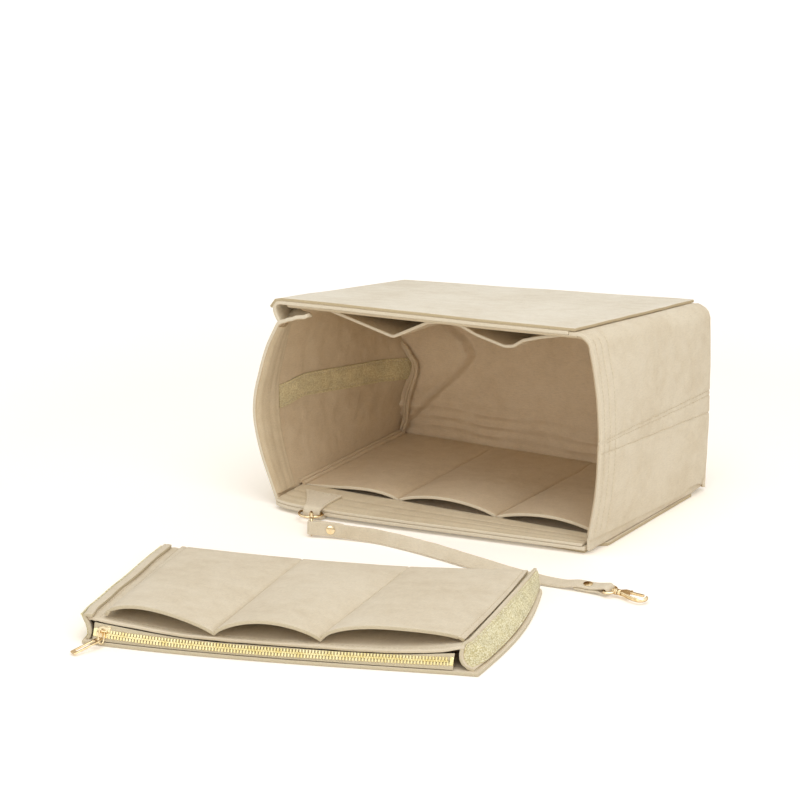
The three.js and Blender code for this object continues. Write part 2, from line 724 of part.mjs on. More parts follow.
// The slider's outer shield: a pointed plate, a flange beside each row of teeth, and a bridge
function sliderSolid() {
  const half = slider.length / 2;
  const shape = new THREE.Shape();
  shape.moveTo(-half, -sliderReach * shieldShares.point);
  shape.quadraticCurveTo(-half * shieldShares.waist, -sliderReach, half, -sliderReach);
  shape.lineTo(half, sliderReach);
  shape.quadraticCurveTo(-half * shieldShares.waist, sliderReach, -half, sliderReach * shieldShares.point);
  const shield = plate(shape, slider.plate, 5).translate(0, 0, sliderPlateLow + slider.plate / 2);
  const flangeLow = zip.tape / 2 + seamGap;
  const flangeDepth = sliderPlateTop - flangeLow;
  const flange = (side) => new THREE.BoxGeometry(half, slider.flange, flangeDepth)
    .translate(half / 2, side * (sliderReach - slider.flange / 2), flangeLow + flangeDepth / 2);
  const span = slider.bridgeSpan / 2;
  const curve = new THREE.CurvePath();
  const foot = sliderPlateTop - slider.plate / 2;
  const points = [
    new THREE.Vector3(-span, 0, foot),
    new THREE.Vector3(-span, 0, bridgeHeight - slider.bridgeWire),
    new THREE.Vector3(-span + slider.bridgeWire, 0, bridgeHeight),
    new THREE.Vector3(span - slider.bridgeWire, 0, bridgeHeight),
    new THREE.Vector3(span, 0, bridgeHeight - slider.bridgeWire),
    new THREE.Vector3(span, 0, foot),
  ];
  for (let i = 1; i < points.length; i += 1) {
    curve.add(new THREE.LineCurve3(points[i - 1], points[i]));
  }
  const wire = new THREE.Shape().absarc(0, 0, slider.bridgeWire, 0, 2 * Math.PI);
  const bridge = new THREE.ExtrudeGeometry(wire, {
    steps: 24,
    extrudePath: curve,
    curveSegments: 4,
    bevelEnabled: false,
  });
  return joined(shield, flange(-1), flange(1), bridge).translate(sliderX, zipMiddle, 0);
}

addPiece(zipGroup, 'zip_lower_tape', zipTape(0, zipMiddle - toothHalf - seamGap), tapeColour, feltRough);
const upperTape = zipTape(zipMiddle + toothHalf + seamGap, zipSlope);
addPiece(zipGroup, 'zip_upper_tape', upperTape, tapeColour, feltRough);
addPiece(zipGroup, 'zip_teeth', zipTeeth(), toothColour, goldRough, 1);
addPiece(zipGroup, 'zip_left_stop', zipStop(zipLeft + zip.stopLength / 2), toothColour, goldRough, 1);
addPiece(zipGroup, 'zip_right_stop', zipStop(zipRight - zip.stopLength / 2), toothColour, goldRough, 1);
addPiece(zipGroup, 'zip_slider', sliderSolid(), goldColour, goldRough, 1);

// Where the slider's bridge is, in the pouch's frame
zipGroup.updateMatrix();
const bridgeCentre = new THREE.Vector3(sliderX, zipMiddle, bridgeHeight).applyMatrix4(zipGroup.matrix);

// The link hangs round the bridge, and the tab hangs round the outer leg of the link
const linkGroup = new THREE.Group();
linkGroup.position.copy(bridgeCentre);
linkGroup.rotation.set(pullTilt, 0, pullTurn);
pouchGroup.add(linkGroup);

function pullLinkSolid() {
  const { halfWidth, length, wire } = pullLink;
  const top = slider.bridgeWire + wire + seamGap;
  const corner = halfWidth / 2;
  const shape = new THREE.Shape();
  shape.moveTo(halfWidth - corner, top);
  shape.lineTo(corner - halfWidth, top);
  shape.quadraticCurveTo(-halfWidth, top, -halfWidth, top - corner);
  shape.lineTo(-halfWidth, top - length + corner);
  shape.quadraticCurveTo(-halfWidth, top - length, corner - halfWidth, top - length);
  shape.lineTo(halfWidth - corner, top - length);
  shape.quadraticCurveTo(halfWidth, top - length, halfWidth, top - length + corner);
  shape.lineTo(halfWidth, top - corner);
  shape.quadraticCurveTo(halfWidth, top, halfWidth - corner, top);
  const upright = closedWire(shape, wire, 8, 28);
  return upright.rotateX(Math.PI / 2).rotateZ(Math.PI / 2);
}

const linkLow = slider.bridgeWire + pullLink.wire + seamGap - pullLink.length;
const linkLeg = new THREE.Vector3(0, -pullLink.halfWidth, linkLow + pullLink.wire + pullTab.thickness + 2 * seamGap);
linkGroup.updateMatrix();
const tabGroup = new THREE.Group();
tabGroup.position.copy(linkLeg.applyMatrix4(linkGroup.matrix));
tabGroup.rotation.order = 'ZXY';
tabGroup.rotation.set(tabTilt, 0, pullTurn);
pouchGroup.add(tabGroup);

function pullTabSolid() {
  const half = pullTab.width / 2;
  const eyeY = 2 * pullLink.wire + seamGap - pullTab.eye;
  const near = eyeY + pullTab.eyeInset;
  const far = near - pullTab.length;
  const shape = new THREE.Shape();
  shape.moveTo(half * tabShares.nose, near);
  shape.lineTo(half, near - half);
  shape.lineTo(half, far + half * tabShares.round);
  shape.quadraticCurveTo(half, far, half * tabShares.corner, far);
  shape.lineTo(-half * tabShares.corner, far);
  shape.quadraticCurveTo(-half, far, -half, far + half * tabShares.round);
  shape.lineTo(-half, near - half);
  shape.lineTo(-half * tabShares.nose, near);
  const eye = new THREE.Path().absarc(0, eyeY, pullTab.eye, 0, 2 * Math.PI);
  shape.holes.push(eye);
  const slotHalf = pullTab.slotWidth / 2;
  const slotNear = eyeY - pullTab.eye - pullTab.thickness - slotHalf;
  const slotFar = slotNear - pullTab.slotLength;
  const slot = new THREE.Path();
  slot.absarc(0, slotNear, slotHalf, 0, Math.PI, false);
  slot.absarc(0, slotFar, slotHalf, Math.PI, 2 * Math.PI, false);
  shape.holes.push(slot);
  return plate(shape, pullTab.thickness, 6);
}

addPiece(linkGroup, 'zip_pull_link', pullLinkSolid(), goldColour, goldRough, 1);
addPiece(tabGroup, 'zip_pull_tab', pullTabSolid(), goldColour, goldRough, 1);

// Key strap: a ribbon whose ends fold round the clasps' bars and are riveted
const routeCurve = new THREE.CatmullRomCurve3(
  strapRoute.map(({ x, y, z }) => new THREE.Vector3(x, y, z)),
  false,
  'centripetal',
);
const leanCurve = new THREE.SplineCurve(
  strapRoute.map(({ lean }, place) => new THREE.Vector2(place, THREE.MathUtils.degToRad(lean))),
);

// Middle point, run, width and face directions of the strap at a share of its route
function strapFrame(share) {
  const at = routeCurve.getUtoTmapping(THREE.MathUtils.clamp(share, 0, 1));
  const middle = routeCurve.getPoint(at);
  const run = routeCurve.getTangent(at);
  const lean = leanCurve.getPoint(at).y;
  const side = new THREE.Vector3(0, 0, 1).cross(run).normalize();
  const upward = run.clone().cross(side);
  const wide = side.clone().multiplyScalar(Math.cos(lean)).addScaledVector(upward, Math.sin(lean));
  const face = run.clone().cross(wide).normalize();
  return { middle, run, wide, face };
}

const foldInner = Math.hypot(clasp.bar, clasp.eyeThickness / 2) + strap.layerGap;
const foldMiddle = foldInner + strap.thickness / 2;
const layerDrop = strap.thickness + strap.layerGap;

// Middle of the clasp's bar at one end of the strap
function barPlace(end) {
  const frame = strapFrame(end);
  return frame.middle.addScaledVector(frame.face, -foldMiddle);
}

// Points of the ribbon's middle line with the frame at each: under layer, fold, run, fold, under layer
function ribbonStations() {
  const stations = [];
  const routeLength = routeCurve.getLength();
  const underSteps = 7;
  const foldSteps = 6;
  const runSteps = 44;
  const shareOf = (distance) => distance / routeLength;
  const dropAt = (distance) => {
    const open = Math.max(0, 1 - distance / strap.closing);
    return mix(layerDrop, 2 * foldMiddle, open * open * (3 - 2 * open));
  };
  const under = (end, distance) => {
    const frame = strapFrame(end === 0 ? shareOf(distance) : 1 - shareOf(distance));
    const place = frame.middle.clone().addScaledVector(frame.face, -dropAt(distance));
    stations.push({ place, wide: frame.wide, face: frame.face.clone().negate() });
  };
  const fold = (end, step) => {
    const frame = strapFrame(end);
    const turn = (step / foldSteps) * Math.PI;
    const outward = frame.run.clone().multiplyScalar(end === 0 ? -1 : 1);
    const swing = end === 0 ? turn : Math.PI - turn;
    const face = frame.face.clone().multiplyScalar(-Math.cos(swing));
    face.addScaledVector(outward, Math.sin(swing));
    stations.push({
      place: barPlace(end).addScaledVector(face, foldMiddle),
      wide: frame.wide,
      face,
    });
  };
  for (let i = 0; i < underSteps; i += 1) under(0, strap.overlap * (1 - i / underSteps));
  for (let i = 0; i <= foldSteps; i += 1) fold(0, i);
  for (let i = 1; i < runSteps; i += 1) {
    const frame = strapFrame(i / runSteps);
    stations.push({ place: frame.middle, wide: frame.wide, face: frame.face });
  }
  for (let i = 0; i <= foldSteps; i += 1) fold(1, i);
  for (let i = 1; i <= underSteps; i += 1) under(1, (strap.overlap * i) / underSteps);
  return stations;
}

function strapSolid() {
  const stations = ribbonStations();
  const geometry = new THREE.BoxGeometry(1, 1, 1, stations.length - 1, 1, 1);
  const position = geometry.attributes.position;
  for (let i = 0; i < position.count; i += 1) {
    const place = Math.round((position.getX(i) + 0.5) * (stations.length - 1));
    const station = stations[place];
    const point = station.place.clone()
      .addScaledVector(station.wide, position.getY(i) * strap.width)
      .addScaledVector(station.face, position.getZ(i) * strap.thickness);
    position.setXYZ(i, point.x, point.y, point.z);
  }
  return geometry;
}

// A rivet is a post between two caps, across both layers of the strap
function rivetMatrix(end) {
  const share = rivet.inset / routeCurve.getLength();
  const frame = strapFrame(end === 0 ? share : 1 - share);
  const centre = frame.middle.clone()
    .addScaledVector(frame.face, -layerDrop / 2);
  const basis = new THREE.Matrix4().makeBasis(frame.run, frame.face, frame.wide.clone().negate());
  return basis.setPosition(centre);
}

function rivetSolid(end) {
  const seat = strap.thickness + strap.layerGap / 2 + rivet.clearance / 2;
  const rim = seat + rivet.dome / 3;
  const profile = [
    new THREE.Vector2(0, -seat - rivet.dome),
    new THREE.Vector2(rivet.cap * rivetShares.crown, -rim - rivet.dome * rivetShares.rise),
    new THREE.Vector2(rivet.cap, -rim),
    new THREE.Vector2(rivet.cap, -seat),
    new THREE.Vector2(rivet.post, -seat),
    new THREE.Vector2(rivet.post, seat),
    new THREE.Vector2(rivet.cap, seat),
    new THREE.Vector2(rivet.cap, rim),
    new THREE.Vector2(rivet.cap * rivetShares.crown, rim + rivet.dome * rivetShares.rise),
    new THREE.Vector2(0, seat + rivet.dome),
  ];
  return closedSolid(new THREE.LatheGeometry(profile, 12).applyMatrix4(rivetMatrix(end)));
}

function rivetHole(end) {
  const length = 2 * (strap.thickness + rivet.dome + cutOverrun);
  const hole = new THREE.CylinderGeometry(rivet.post + rivet.clearance, rivet.post + rivet.clearance, length, 12);
  return hole.applyMatrix4(rivetMatrix(end));
}

// The strap lies where its first clasp grips the front of the key ring
const barA = barPlace(0);
const gripLength = clasp.clawU + clasp.clawInner - clasp.ringGap - keyRing.wire;
const towardsStrap = new THREE.Vector3(Math.cos(claspHeading), Math.sin(claspHeading), 0);
const gripPoint = new THREE.Vector3(keyTab.x, ringBarY - keyRing.leg, foldZ + clasp.ringDrop)
  .addScaledVector(towardsStrap, keyRing.halfWidth);
const strapGroup = new THREE.Group();
strapGroup.position.copy(gripPoint).addScaledVector(towardsStrap, gripLength).sub(barA).setZ(0);
group.add(strapGroup);
const strapCut = cutFrom(strapSolid(), rivetHole(0), rivetHole(1));
addPiece(strapGroup, 'key_strap', strapCut, panelColour, feltRough);
addPiece(strapGroup, 'strap_rivet_a', rivetSolid(0), goldColour, goldRough, 1);
addPiece(strapGroup, 'strap_rivet_b', rivetSolid(1), goldColour, goldRough, 1);

// Clasp pieces in their own frame: x is u, y is v, z is the thickness
function claspEye() {
  const outer = clasp.eyeHalfWidth;
  const innerHalf = outer - clasp.eyeSide;
  const front = clasp.eyeInner + clasp.eyeSide;
  const shape = new THREE.Shape();
  shape.moveTo(-clasp.bar, -outer + clasp.bar);
  shape.quadraticCurveTo(-clasp.bar, -outer, 0, -outer);
  shape.lineTo(clasp.eyeInner / 2, -outer);
  shape.quadraticCurveTo(front - clasp.bar, -outer, front, -clasp.boss);
  shape.lineTo(front, clasp.boss);
  shape.quadraticCurveTo(front - clasp.bar, outer, clasp.eyeInner / 2, outer);
  shape.lineTo(0, outer);
  shape.quadraticCurveTo(-clasp.bar, outer, -clasp.bar, outer - clasp.bar);
  const hole = new THREE.Path();
  hole.moveTo(clasp.bar, -innerHalf);
  hole.lineTo(clasp.eyeInner / 2, -innerHalf);
  hole.quadraticCurveTo(clasp.eyeInner, -innerHalf, clasp.eyeInner, -clasp.boss);
  hole.lineTo(clasp.eyeInner, clasp.boss);
  hole.quadraticCurveTo(clasp.eyeInner, innerHalf, clasp.eyeInner / 2, innerHalf);
  hole.lineTo(clasp.bar, innerHalf);
  shape.holes.push(hole);
  const loop = plate(shape, clasp.eyeThickness, 5);
  const bossLength = clasp.bossEnd - clasp.eyeInner;
  const bossMiddle = (clasp.bossEnd + clasp.eyeInner) / 2;
  const boss = new THREE.CylinderGeometry(clasp.boss, clasp.boss, bossLength, 12)
    .rotateZ(Math.PI / 2)
    .translate(bossMiddle, 0, 0);
  const bore = new THREE.CylinderGeometry(clasp.bore, clasp.bore, bossLength + 2 * cutOverrun, 12)
    .rotateZ(Math.PI / 2)
    .translate(bossMiddle, 0, 0);
  return fromManifold(toManifold(joined(loop, boss)).subtract(toManifold(bore)));
}

function claspHook() {
  const { shankStart, shank, pivotU, pivotV, clawU, clawOuter, clawInner, tip } = clasp;
  const nose = THREE.MathUtils.degToRad(50);
  const noseOuter = new THREE.Vector2(clawU + clawOuter * Math.cos(nose), clawOuter * Math.sin(nose));
  const spineU = (pivotU + clawU) / 2;
  const shape = new THREE.Shape();
  shape.moveTo(shankStart, -shank);
  shape.lineTo(shankStart + shank, -shank);
  shape.quadraticCurveTo(pivotU, -shank, spineU, -clawOuter);
  shape.quadraticCurveTo(clawU - shank, -clawOuter, clawU, -clawOuter);
  shape.quadraticCurveTo(tip, -clawOuter, tip, 0);
  shape.quadraticCurveTo(tip, clawOuter * Math.sin(nose) / 2, noseOuter.x, noseOuter.y);
  shape.lineTo(clawU + clawInner * Math.cos(nose), clawInner * Math.sin(nose));
  shape.absarc(clawU, 0, clawInner, nose, -Math.PI / 2, true);
  shape.quadraticCurveTo(spineU, -clawInner, pivotU + shank, -shank / 2);
  shape.lineTo(pivotU + shank, pivotV - shank / 2);
  shape.lineTo(pivotU + shank / 2, pivotV + shank);
  shape.lineTo(pivotU - shank, pivotV + shank);
  shape.lineTo(shankStart + shank, shank);
  shape.lineTo(shankStart, shank);
  const body = plate(shape, clasp.body, 6);
  const studLength = shankStart + shank - clasp.studHeadEnd;
  const stud = new THREE.CylinderGeometry(clasp.stud, clasp.stud, studLength, 12)
    .rotateZ(Math.PI / 2)
    .translate(clasp.studHeadEnd + studLength / 2, 0, 0);
  const headLength = clasp.studHeadEnd - clasp.studHeadStart;
  const head = new THREE.CylinderGeometry(clasp.studHead, clasp.studHead, headLength, 12)
    .rotateZ(Math.PI / 2)
    .translate(clasp.studHeadStart + headLength / 2, 0, 0);
  const slotLength = clawU - pivotU + 2 * shank;
  const slot = new THREE.BoxGeometry(slotLength, 2 * (shank + pivotV), clasp.slot)
    .translate(pivotU - 2 * clasp.pin - clasp.pinHole - seamGap + slotLength / 2, pivotV + shank + seamGap, 0);
  const pinHole = new THREE.CylinderGeometry(clasp.pinHole, clasp.pinHole, clasp.body + 2 * cutOverrun, 12)
    .rotateX(Math.PI / 2)
    .translate(pivotU, pivotV, 0);
  const whole = toManifold(joined(body, stud, head));
  const noseGuard = new THREE.BoxGeometry(clasp.tip, clasp.tip, clasp.slot)
    .translate(clawU + clasp.tip / 2 + shank / 2, 0, 0);
  const clearSlot = toManifold(slot).subtract(toManifold(noseGuard));
  return fromManifold(whole.subtract(clearSlot).subtract(toManifold(pinHole)));
}

function claspGate() {
  const { pivotU, pivotV, clawU, clawOuter, gate, shank, pin } = clasp;
  const knuckle = 2 * pin;
  const reach = clawU + shank / 2;
  const highV = clawOuter * gateCrownShare;
  const shape = new THREE.Shape();
  shape.moveTo(pivotU + knuckle, pivotV - knuckle / 2);
  shape.quadraticCurveTo((pivotU + reach) / 2, pivotV + pin, reach, highV - gate - pin);
  shape.lineTo(reach, highV);
  shape.quadraticCurveTo((pivotU + reach) / 2 + shank, highV, pivotU + 3 * pin + shank, pivotV + shank);
  shape.lineTo(pivotU + shank, clawOuter + pin);
  shape.lineTo(pivotU + pin, clawOuter + pin);
  shape.lineTo(pivotU + pin / 2, pivotV + knuckle);
  shape.absarc(pivotU, pivotV, knuckle, Math.PI / 2, 1.6 * Math.PI, false);
  const hole = new THREE.Path().absarc(pivotU, pivotV, clasp.pinHole, 0, 2 * Math.PI);
  shape.holes.push(hole);
  return plate(shape, gate, 6);
}

function claspPin() {
  return new THREE.CylinderGeometry(clasp.pin, clasp.pin, clasp.body, 12)
    .rotateX(Math.PI / 2)
    .translate(clasp.pivotU, clasp.pivotV, 0);
}

// Places a clasp: where its bar is, which way it points, and which way across the hook faces
function placeClasp(end, heading, across) {
  const letter = end === 0 ? 'a' : 'b';
  const u = heading.clone().normalize();
  const w = u.clone().cross(across).normalize();
  const v = w.clone().cross(u);
  const frame = new THREE.Matrix4().makeBasis(u, v, w).setPosition(barPlace(end));
  const holder = new THREE.Group();
  holder.applyMatrix4(frame);
  strapGroup.add(holder);
  addPiece(holder, `clasp_${letter}_eye`, claspEye(), goldColour, goldRough, 1);
  addPiece(holder, `clasp_${letter}_hook`, claspHook(), goldColour, goldRough, 1);
  addPiece(holder, `clasp_${letter}_gate`, claspGate(), goldColour, goldRough, 1);
  addPiece(holder, `clasp_${letter}_pin`, claspPin(), goldColour, goldRough, 1);
}

const headingA = gripPoint.clone().sub(strapGroup.position).sub(barA);
placeClasp(0, headingA, strapFrame(0).wide);
const lastFrame = strapFrame(1);
const headingB = lastFrame.run.clone().setZ((claspLowHeight - barPlace(1).z) / clasp.tip);
placeClasp(1, headingB, lastFrame.wide);

export default group;
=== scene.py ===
import math
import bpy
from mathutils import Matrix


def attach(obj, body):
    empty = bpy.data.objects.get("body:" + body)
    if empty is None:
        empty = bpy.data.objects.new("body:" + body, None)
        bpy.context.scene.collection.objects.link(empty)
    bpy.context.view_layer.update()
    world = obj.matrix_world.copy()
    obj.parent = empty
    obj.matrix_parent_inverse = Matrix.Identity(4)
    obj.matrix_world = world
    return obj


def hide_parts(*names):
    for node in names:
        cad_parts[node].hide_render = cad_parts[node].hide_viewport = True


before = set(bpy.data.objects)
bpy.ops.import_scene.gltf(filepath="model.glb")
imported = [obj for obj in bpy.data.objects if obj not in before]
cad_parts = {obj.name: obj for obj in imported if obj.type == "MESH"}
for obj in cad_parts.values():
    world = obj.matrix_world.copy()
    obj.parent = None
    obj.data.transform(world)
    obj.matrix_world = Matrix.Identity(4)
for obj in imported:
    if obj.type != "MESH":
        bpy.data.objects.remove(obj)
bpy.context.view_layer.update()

import bmesh
import bpy
from mathutils import Matrix, Vector, noise

mm = 0.001  # the forms below are worked out in millimetres and made in metres
print("frame loaded")

# Camera, where the photograph's stood
cameraView = {
    "place": (1.021, -1.976, 0.720),
    "azimuth": 29.3,
    "elevation": 16.0,
    "lens": 126.18,
    "sensor": 36.0,
}


def makeCamera(view):
    data = bpy.data.cameras.new("camera")
    data.lens = view["lens"]
    data.sensor_width = view["sensor"]
    data.clip_end = 20
    camera = bpy.data.objects.new("camera", data)
    turn = math.radians(view["azimuth"])
    rise = math.radians(view["elevation"])
    level = math.cos(rise)
    back = Vector((math.sin(turn) * level, -math.cos(turn) * level, math.sin(rise)))
    camera.location = view["place"]
    camera.rotation_mode = "QUATERNION"
    camera.rotation_quaternion = (-back).to_track_quat("-Z", "Y")
    bpy.context.scene.collection.objects.link(camera)
    bpy.context.scene.camera = camera


makeCamera(cameraView)
print("camera placed")


# Small sums used by every form
def mix(low, high, share):
    return low + (high - low) * share


def clamp(value, low=0.0, high=1.0):
    return max(low, min(high, value))


def sine(share):
    return max(0.0, math.sin(math.pi * clamp(share)))


def ease(value, low, high):
    share = clamp((value - low) / (high - low))
    return share * share * (3 - 2 * share)


def rounded(distance, radius):  # how far a round corner cuts in, at a distance from its end
    short = clamp(1 - distance / radius)
    return radius * (1 - math.sqrt(max(0.0, 1 - short * short)))


def linked(knots, value):  # straight lines through (place, height) knots
    for (left, low), (right, high) in zip(knots, knots[1:]):
        if value <= right:
            return mix(low, high, clamp((value - left) / (right - left)))
    return knots[-1][1]


def curved(knots, value, reach):  # the same line, with its corners rounded off over a reach
    spots = [value + reach * (i / 4 - 1) for i in range(9)]
    return sum(linked(knots, spot) for spot in spots) / len(spots)


def ripple(x, y, z, size, seed=0.0):
    return noise.noise(Vector((x / size + seed, y / size - seed, z / size + seed)))


# Materials
def startMaterial(name, roughness, metallic=0.0):
    material = bpy.data.materials.new(name)
    material.use_nodes = True
    nodes = material.node_tree.nodes
    shader = nodes["Principled BSDF"]
    shader.inputs["Roughness"].default_value = roughness
    shader.inputs["Metallic"].default_value = metallic
    return material, nodes, material.node_tree.links, shader


def noiseNode(nodes, links, vector, scale, detail=2.0, roughness=0.5, stretch=None, turn=0.0):
    if stretch:
        mapping = nodes.new("ShaderNodeMapping")
        mapping.inputs["Scale"].default_value = stretch
        mapping.inputs["Rotation"].default_value = (turn, turn * 0.7, turn)
        links.new(vector, mapping.inputs["Vector"])
        vector = mapping.outputs["Vector"]
    node = nodes.new("ShaderNodeTexNoise")
    node.inputs["Scale"].default_value = scale
    node.inputs["Detail"].default_value = detail
    node.inputs["Roughness"].default_value = roughness
    links.new(vector, node.inputs["Vector"])
    return node.outputs["Fac"]


def ramp(nodes, links, value, stops):
    node = nodes.new("ShaderNodeValToRGB")
    node.color_ramp.elements[0].position = stops[0][0]
    node.color_ramp.elements[0].color = (*stops[0][1], 1)
    node.color_ramp.elements[1].position = stops[-1][0]
    node.color_ramp.elements[1].color = (*stops[-1][1], 1)
    for place, colour in stops[1:-1]:
        element = node.color_ramp.elements.new(place)
        element.color = (*colour, 1)
    links.new(value, node.inputs["Fac"])
    return node.outputs["Color"]


def blend(nodes, links, kind, share, first, second):
    node = nodes.new("ShaderNodeMix")
    node.data_type = "RGBA"
    node.blend_type = kind
    node.inputs["Factor"].default_value = share
    links.new(first, node.inputs[6])
    links.new(second, node.inputs[7])
    return node.outputs[2]


def sums(nodes, links, operation, first, second):
    node = nodes.new("ShaderNodeMath")
    node.operation = operation
    for socket, value in zip(node.inputs, (first, second)):
        if isinstance(value, (int, float)):
            socket.default_value = value
        else:
            links.new(value, socket)
    return node.outputs[0]


def bump(nodes, links, height, strength, distance, below=None):
    node = nodes.new("ShaderNodeBump")
    node.inputs["Strength"].default_value = strength
    node.inputs["Distance"].default_value = distance
    links.new(height, node.inputs["Height"])
    if below:
        links.new(below, node.inputs["Normal"])
    return node.outputs["Normal"]


def grey(value):
    return (value, value, value)


feltLook = {
    "light": (0.77, 0.67, 0.505),
    "middle": (0.73, 0.625, 0.458),
    "deep": (0.675, 0.565, 0.40),
    "patch": 13.0,  # per metre, so blotches are about 80 mm
    "mottle": 90.0,
    "fibre": 1300.0,
    "nap": 0.0005,
}


def feltMaterial(name, look, paintedLightTint=(1.0, 1.0, 1.0)):
    material, nodes, links, shader = startMaterial(name, 0.93)
    place = nodes.new("ShaderNodeTexCoord").outputs["Object"]
    patch = noiseNode(nodes, links, place, look["patch"], 3, 0.55)
    mottle = noiseNode(nodes, links, place, look["mottle"], 4, 0.6)
    fibre = noiseNode(nodes, links, place, look["fibre"], 5, 0.7)
    strandA = noiseNode(nodes, links, place, 260, 2, 0.5, (1, 9, 4), 0.6)
    strandB = noiseNode(nodes, links, place, 240, 2, 0.5, (8, 1, 6), -0.9)
    tone = sums(nodes, links, "ADD", patch, sums(nodes, links, "MULTIPLY", mottle, 0.7))
    tone = sums(nodes, links, "ADD", tone, sums(nodes, links, "MULTIPLY", fibre, 0.5))
    tone = sums(nodes, links, "MULTIPLY", tone, 0.5)
    # The tint scales the felt's colours to make lit and shaded copies of one felt: painted light and painted
    # shade.
    light, middle, deep = (
        tuple(channel * share for channel, share in zip(look[key], paintedLightTint))
        for key in ("light", "middle", "deep")
    )
    colour = ramp(nodes, links, tone, [(0.42, deep), (0.53, middle), (0.64, light)])
    strands = sums(nodes, links, "MULTIPLY", strandA, strandB)
    speck = ramp(nodes, links, strands, [(0.12, grey(0.93)), (0.24, grey(1.0)), (0.36, grey(1.04))])
    links.new(blend(nodes, links, "MULTIPLY", 1.0, colour, speck), shader.inputs["Base Color"])
    height = sums(nodes, links, "ADD", fibre, sums(nodes, links, "MULTIPLY", strands, 1.6))
    soft = bump(nodes, links, mottle, 0.5, look["nap"] * 2)
    links.new(bump(nodes, links, height, 0.4, look["nap"], soft), shader.inputs["Normal"])
    rough = sums(nodes, links, "ADD", sums(nodes, links, "MULTIPLY", fibre, 0.12), 0.86)
    links.new(rough, shader.inputs["Roughness"])
    shader.inputs["Sheen Weight"].default_value = 0.12
    shader.inputs["Sheen Roughness"].default_value = 0.6
    shader.inputs["Specular IOR Level"].default_value = 0.12
    return material


# Cut edges show the paler core of the felt, in thin pressed layers
def cutEdgeMaterial(name, look, pale):
    material, nodes, links, shader = startMaterial(name, 0.95)
    place = nodes.new("ShaderNodeTexCoord").outputs["Object"]
    fibre = noiseNode(nodes, links, place, 1800, 5, 0.75)
    layer = noiseNode(nodes, links, place, 500, 3, 0.6, (1, 1, 5))
    tone = sums(nodes, links, "MULTIPLY", sums(nodes, links, "ADD", fibre, layer), 0.5)
    colour = ramp(nodes, links, tone, [(0.35, look["middle"]), (0.5, look["light"]), (0.66, pale)])
    links.new(colour, shader.inputs["Base Color"])
    links.new(bump(nodes, links, tone, 0.6, 0.0004), shader.inputs["Normal"])
    shader.inputs["Sheen Weight"].default_value = 0.1
    shader.inputs["Specular IOR Level"].default_value = 0.1
    return material


loopTapeLook = {
    "deep": (0.66, 0.53, 0.28),
    "middle": (0.77, 0.65, 0.37),
    "light": (0.87, 0.77, 0.49),
    "cells": 900,
    "shine": 0.1,
    "relief": 0.0004,
}
hookTapeLook = {
    "deep": (0.62, 0.53, 0.26),
    "middle": (0.84, 0.75, 0.45),
    "light": (0.98, 0.93, 0.7),
    "cells": 800,
    "shine": 0.7,
    "relief": 0.0006,
}


# Napped loop tape and hook tape, on the tape's own map, whose unit is a metre
def tapeMaterial(name, look):
    material, nodes, links, shader = startMaterial(name, 0.85)
    place = nodes.new("ShaderNodeUVMap").outputs["UV"]
    cells = nodes.new("ShaderNodeTexVoronoi")
    cells.inputs["Scale"].default_value = look["cells"]
    links.new(place, cells.inputs["Vector"])
    fuzz = noiseNode(nodes, links, place, look["cells"] * 0.8, 4, 0.75)
    pits = sums(nodes, links, "MULTIPLY", cells.outputs["Distance"], 0.7)
    height = sums(nodes, links, "SUBTRACT", fuzz, pits)
    colour = ramp(nodes, links, height, [(0.0, look["deep"]), (0.2, look["middle"]), (0.42, look["light"])])
    drift = noiseNode(nodes, links, place, 60, 3, 0.6)
    shade = ramp(nodes, links, drift, [(0.35, grey(0.86)), (0.65, grey(1.05))])
    links.new(blend(nodes, links, "MULTIPLY", 1.0, colour, shade), shader.inputs["Base Color"])
    rough = sums(nodes, links, "SUBTRACT", 0.9, sums(nodes, links, "MULTIPLY", height, look["shine"]))
    links.new(rough, shader.inputs["Roughness"])
    links.new(bump(nodes, links, height, 0.8, look["relief"]), shader.inputs["Normal"])
    shader.inputs["Sheen Weight"].default_value = 0.25
    return material


# Woven tape with a fine twill
def twillMaterial(name, deep, light, rows):
    material, nodes, links, shader = startMaterial(name, 0.8)
    place = nodes.new("ShaderNodeUVMap").outputs["UV"]
    weave = []
    for turn in (0.62, -0.95):
        mapping = nodes.new("ShaderNodeMapping")
        mapping.inputs["Rotation"].default_value = (0, 0, turn)
        links.new(place, mapping.inputs["Vector"])
        wave = nodes.new("ShaderNodeTexWave")
        wave.inputs["Scale"].default_value = rows
        wave.inputs["Distortion"].default_value = 1.2
        wave.inputs["Detail Scale"].default_value = 3
        links.new(mapping.outputs["Vector"], wave.inputs["Vector"])
        weave.append(wave.outputs["Fac"])
    height = sums(nodes, links, "MULTIPLY", weave[0], sums(nodes, links, "ADD", weave[1], 0.4))
    links.new(ramp(nodes, links, height, [(0.1, deep), (0.9, light)]), shader.inputs["Base Color"])
    links.new(bump(nodes, links, height, 0.7, 0.0003), shader.inputs["Normal"])
    shader.inputs["Sheen Weight"].default_value = 0.2
    return material
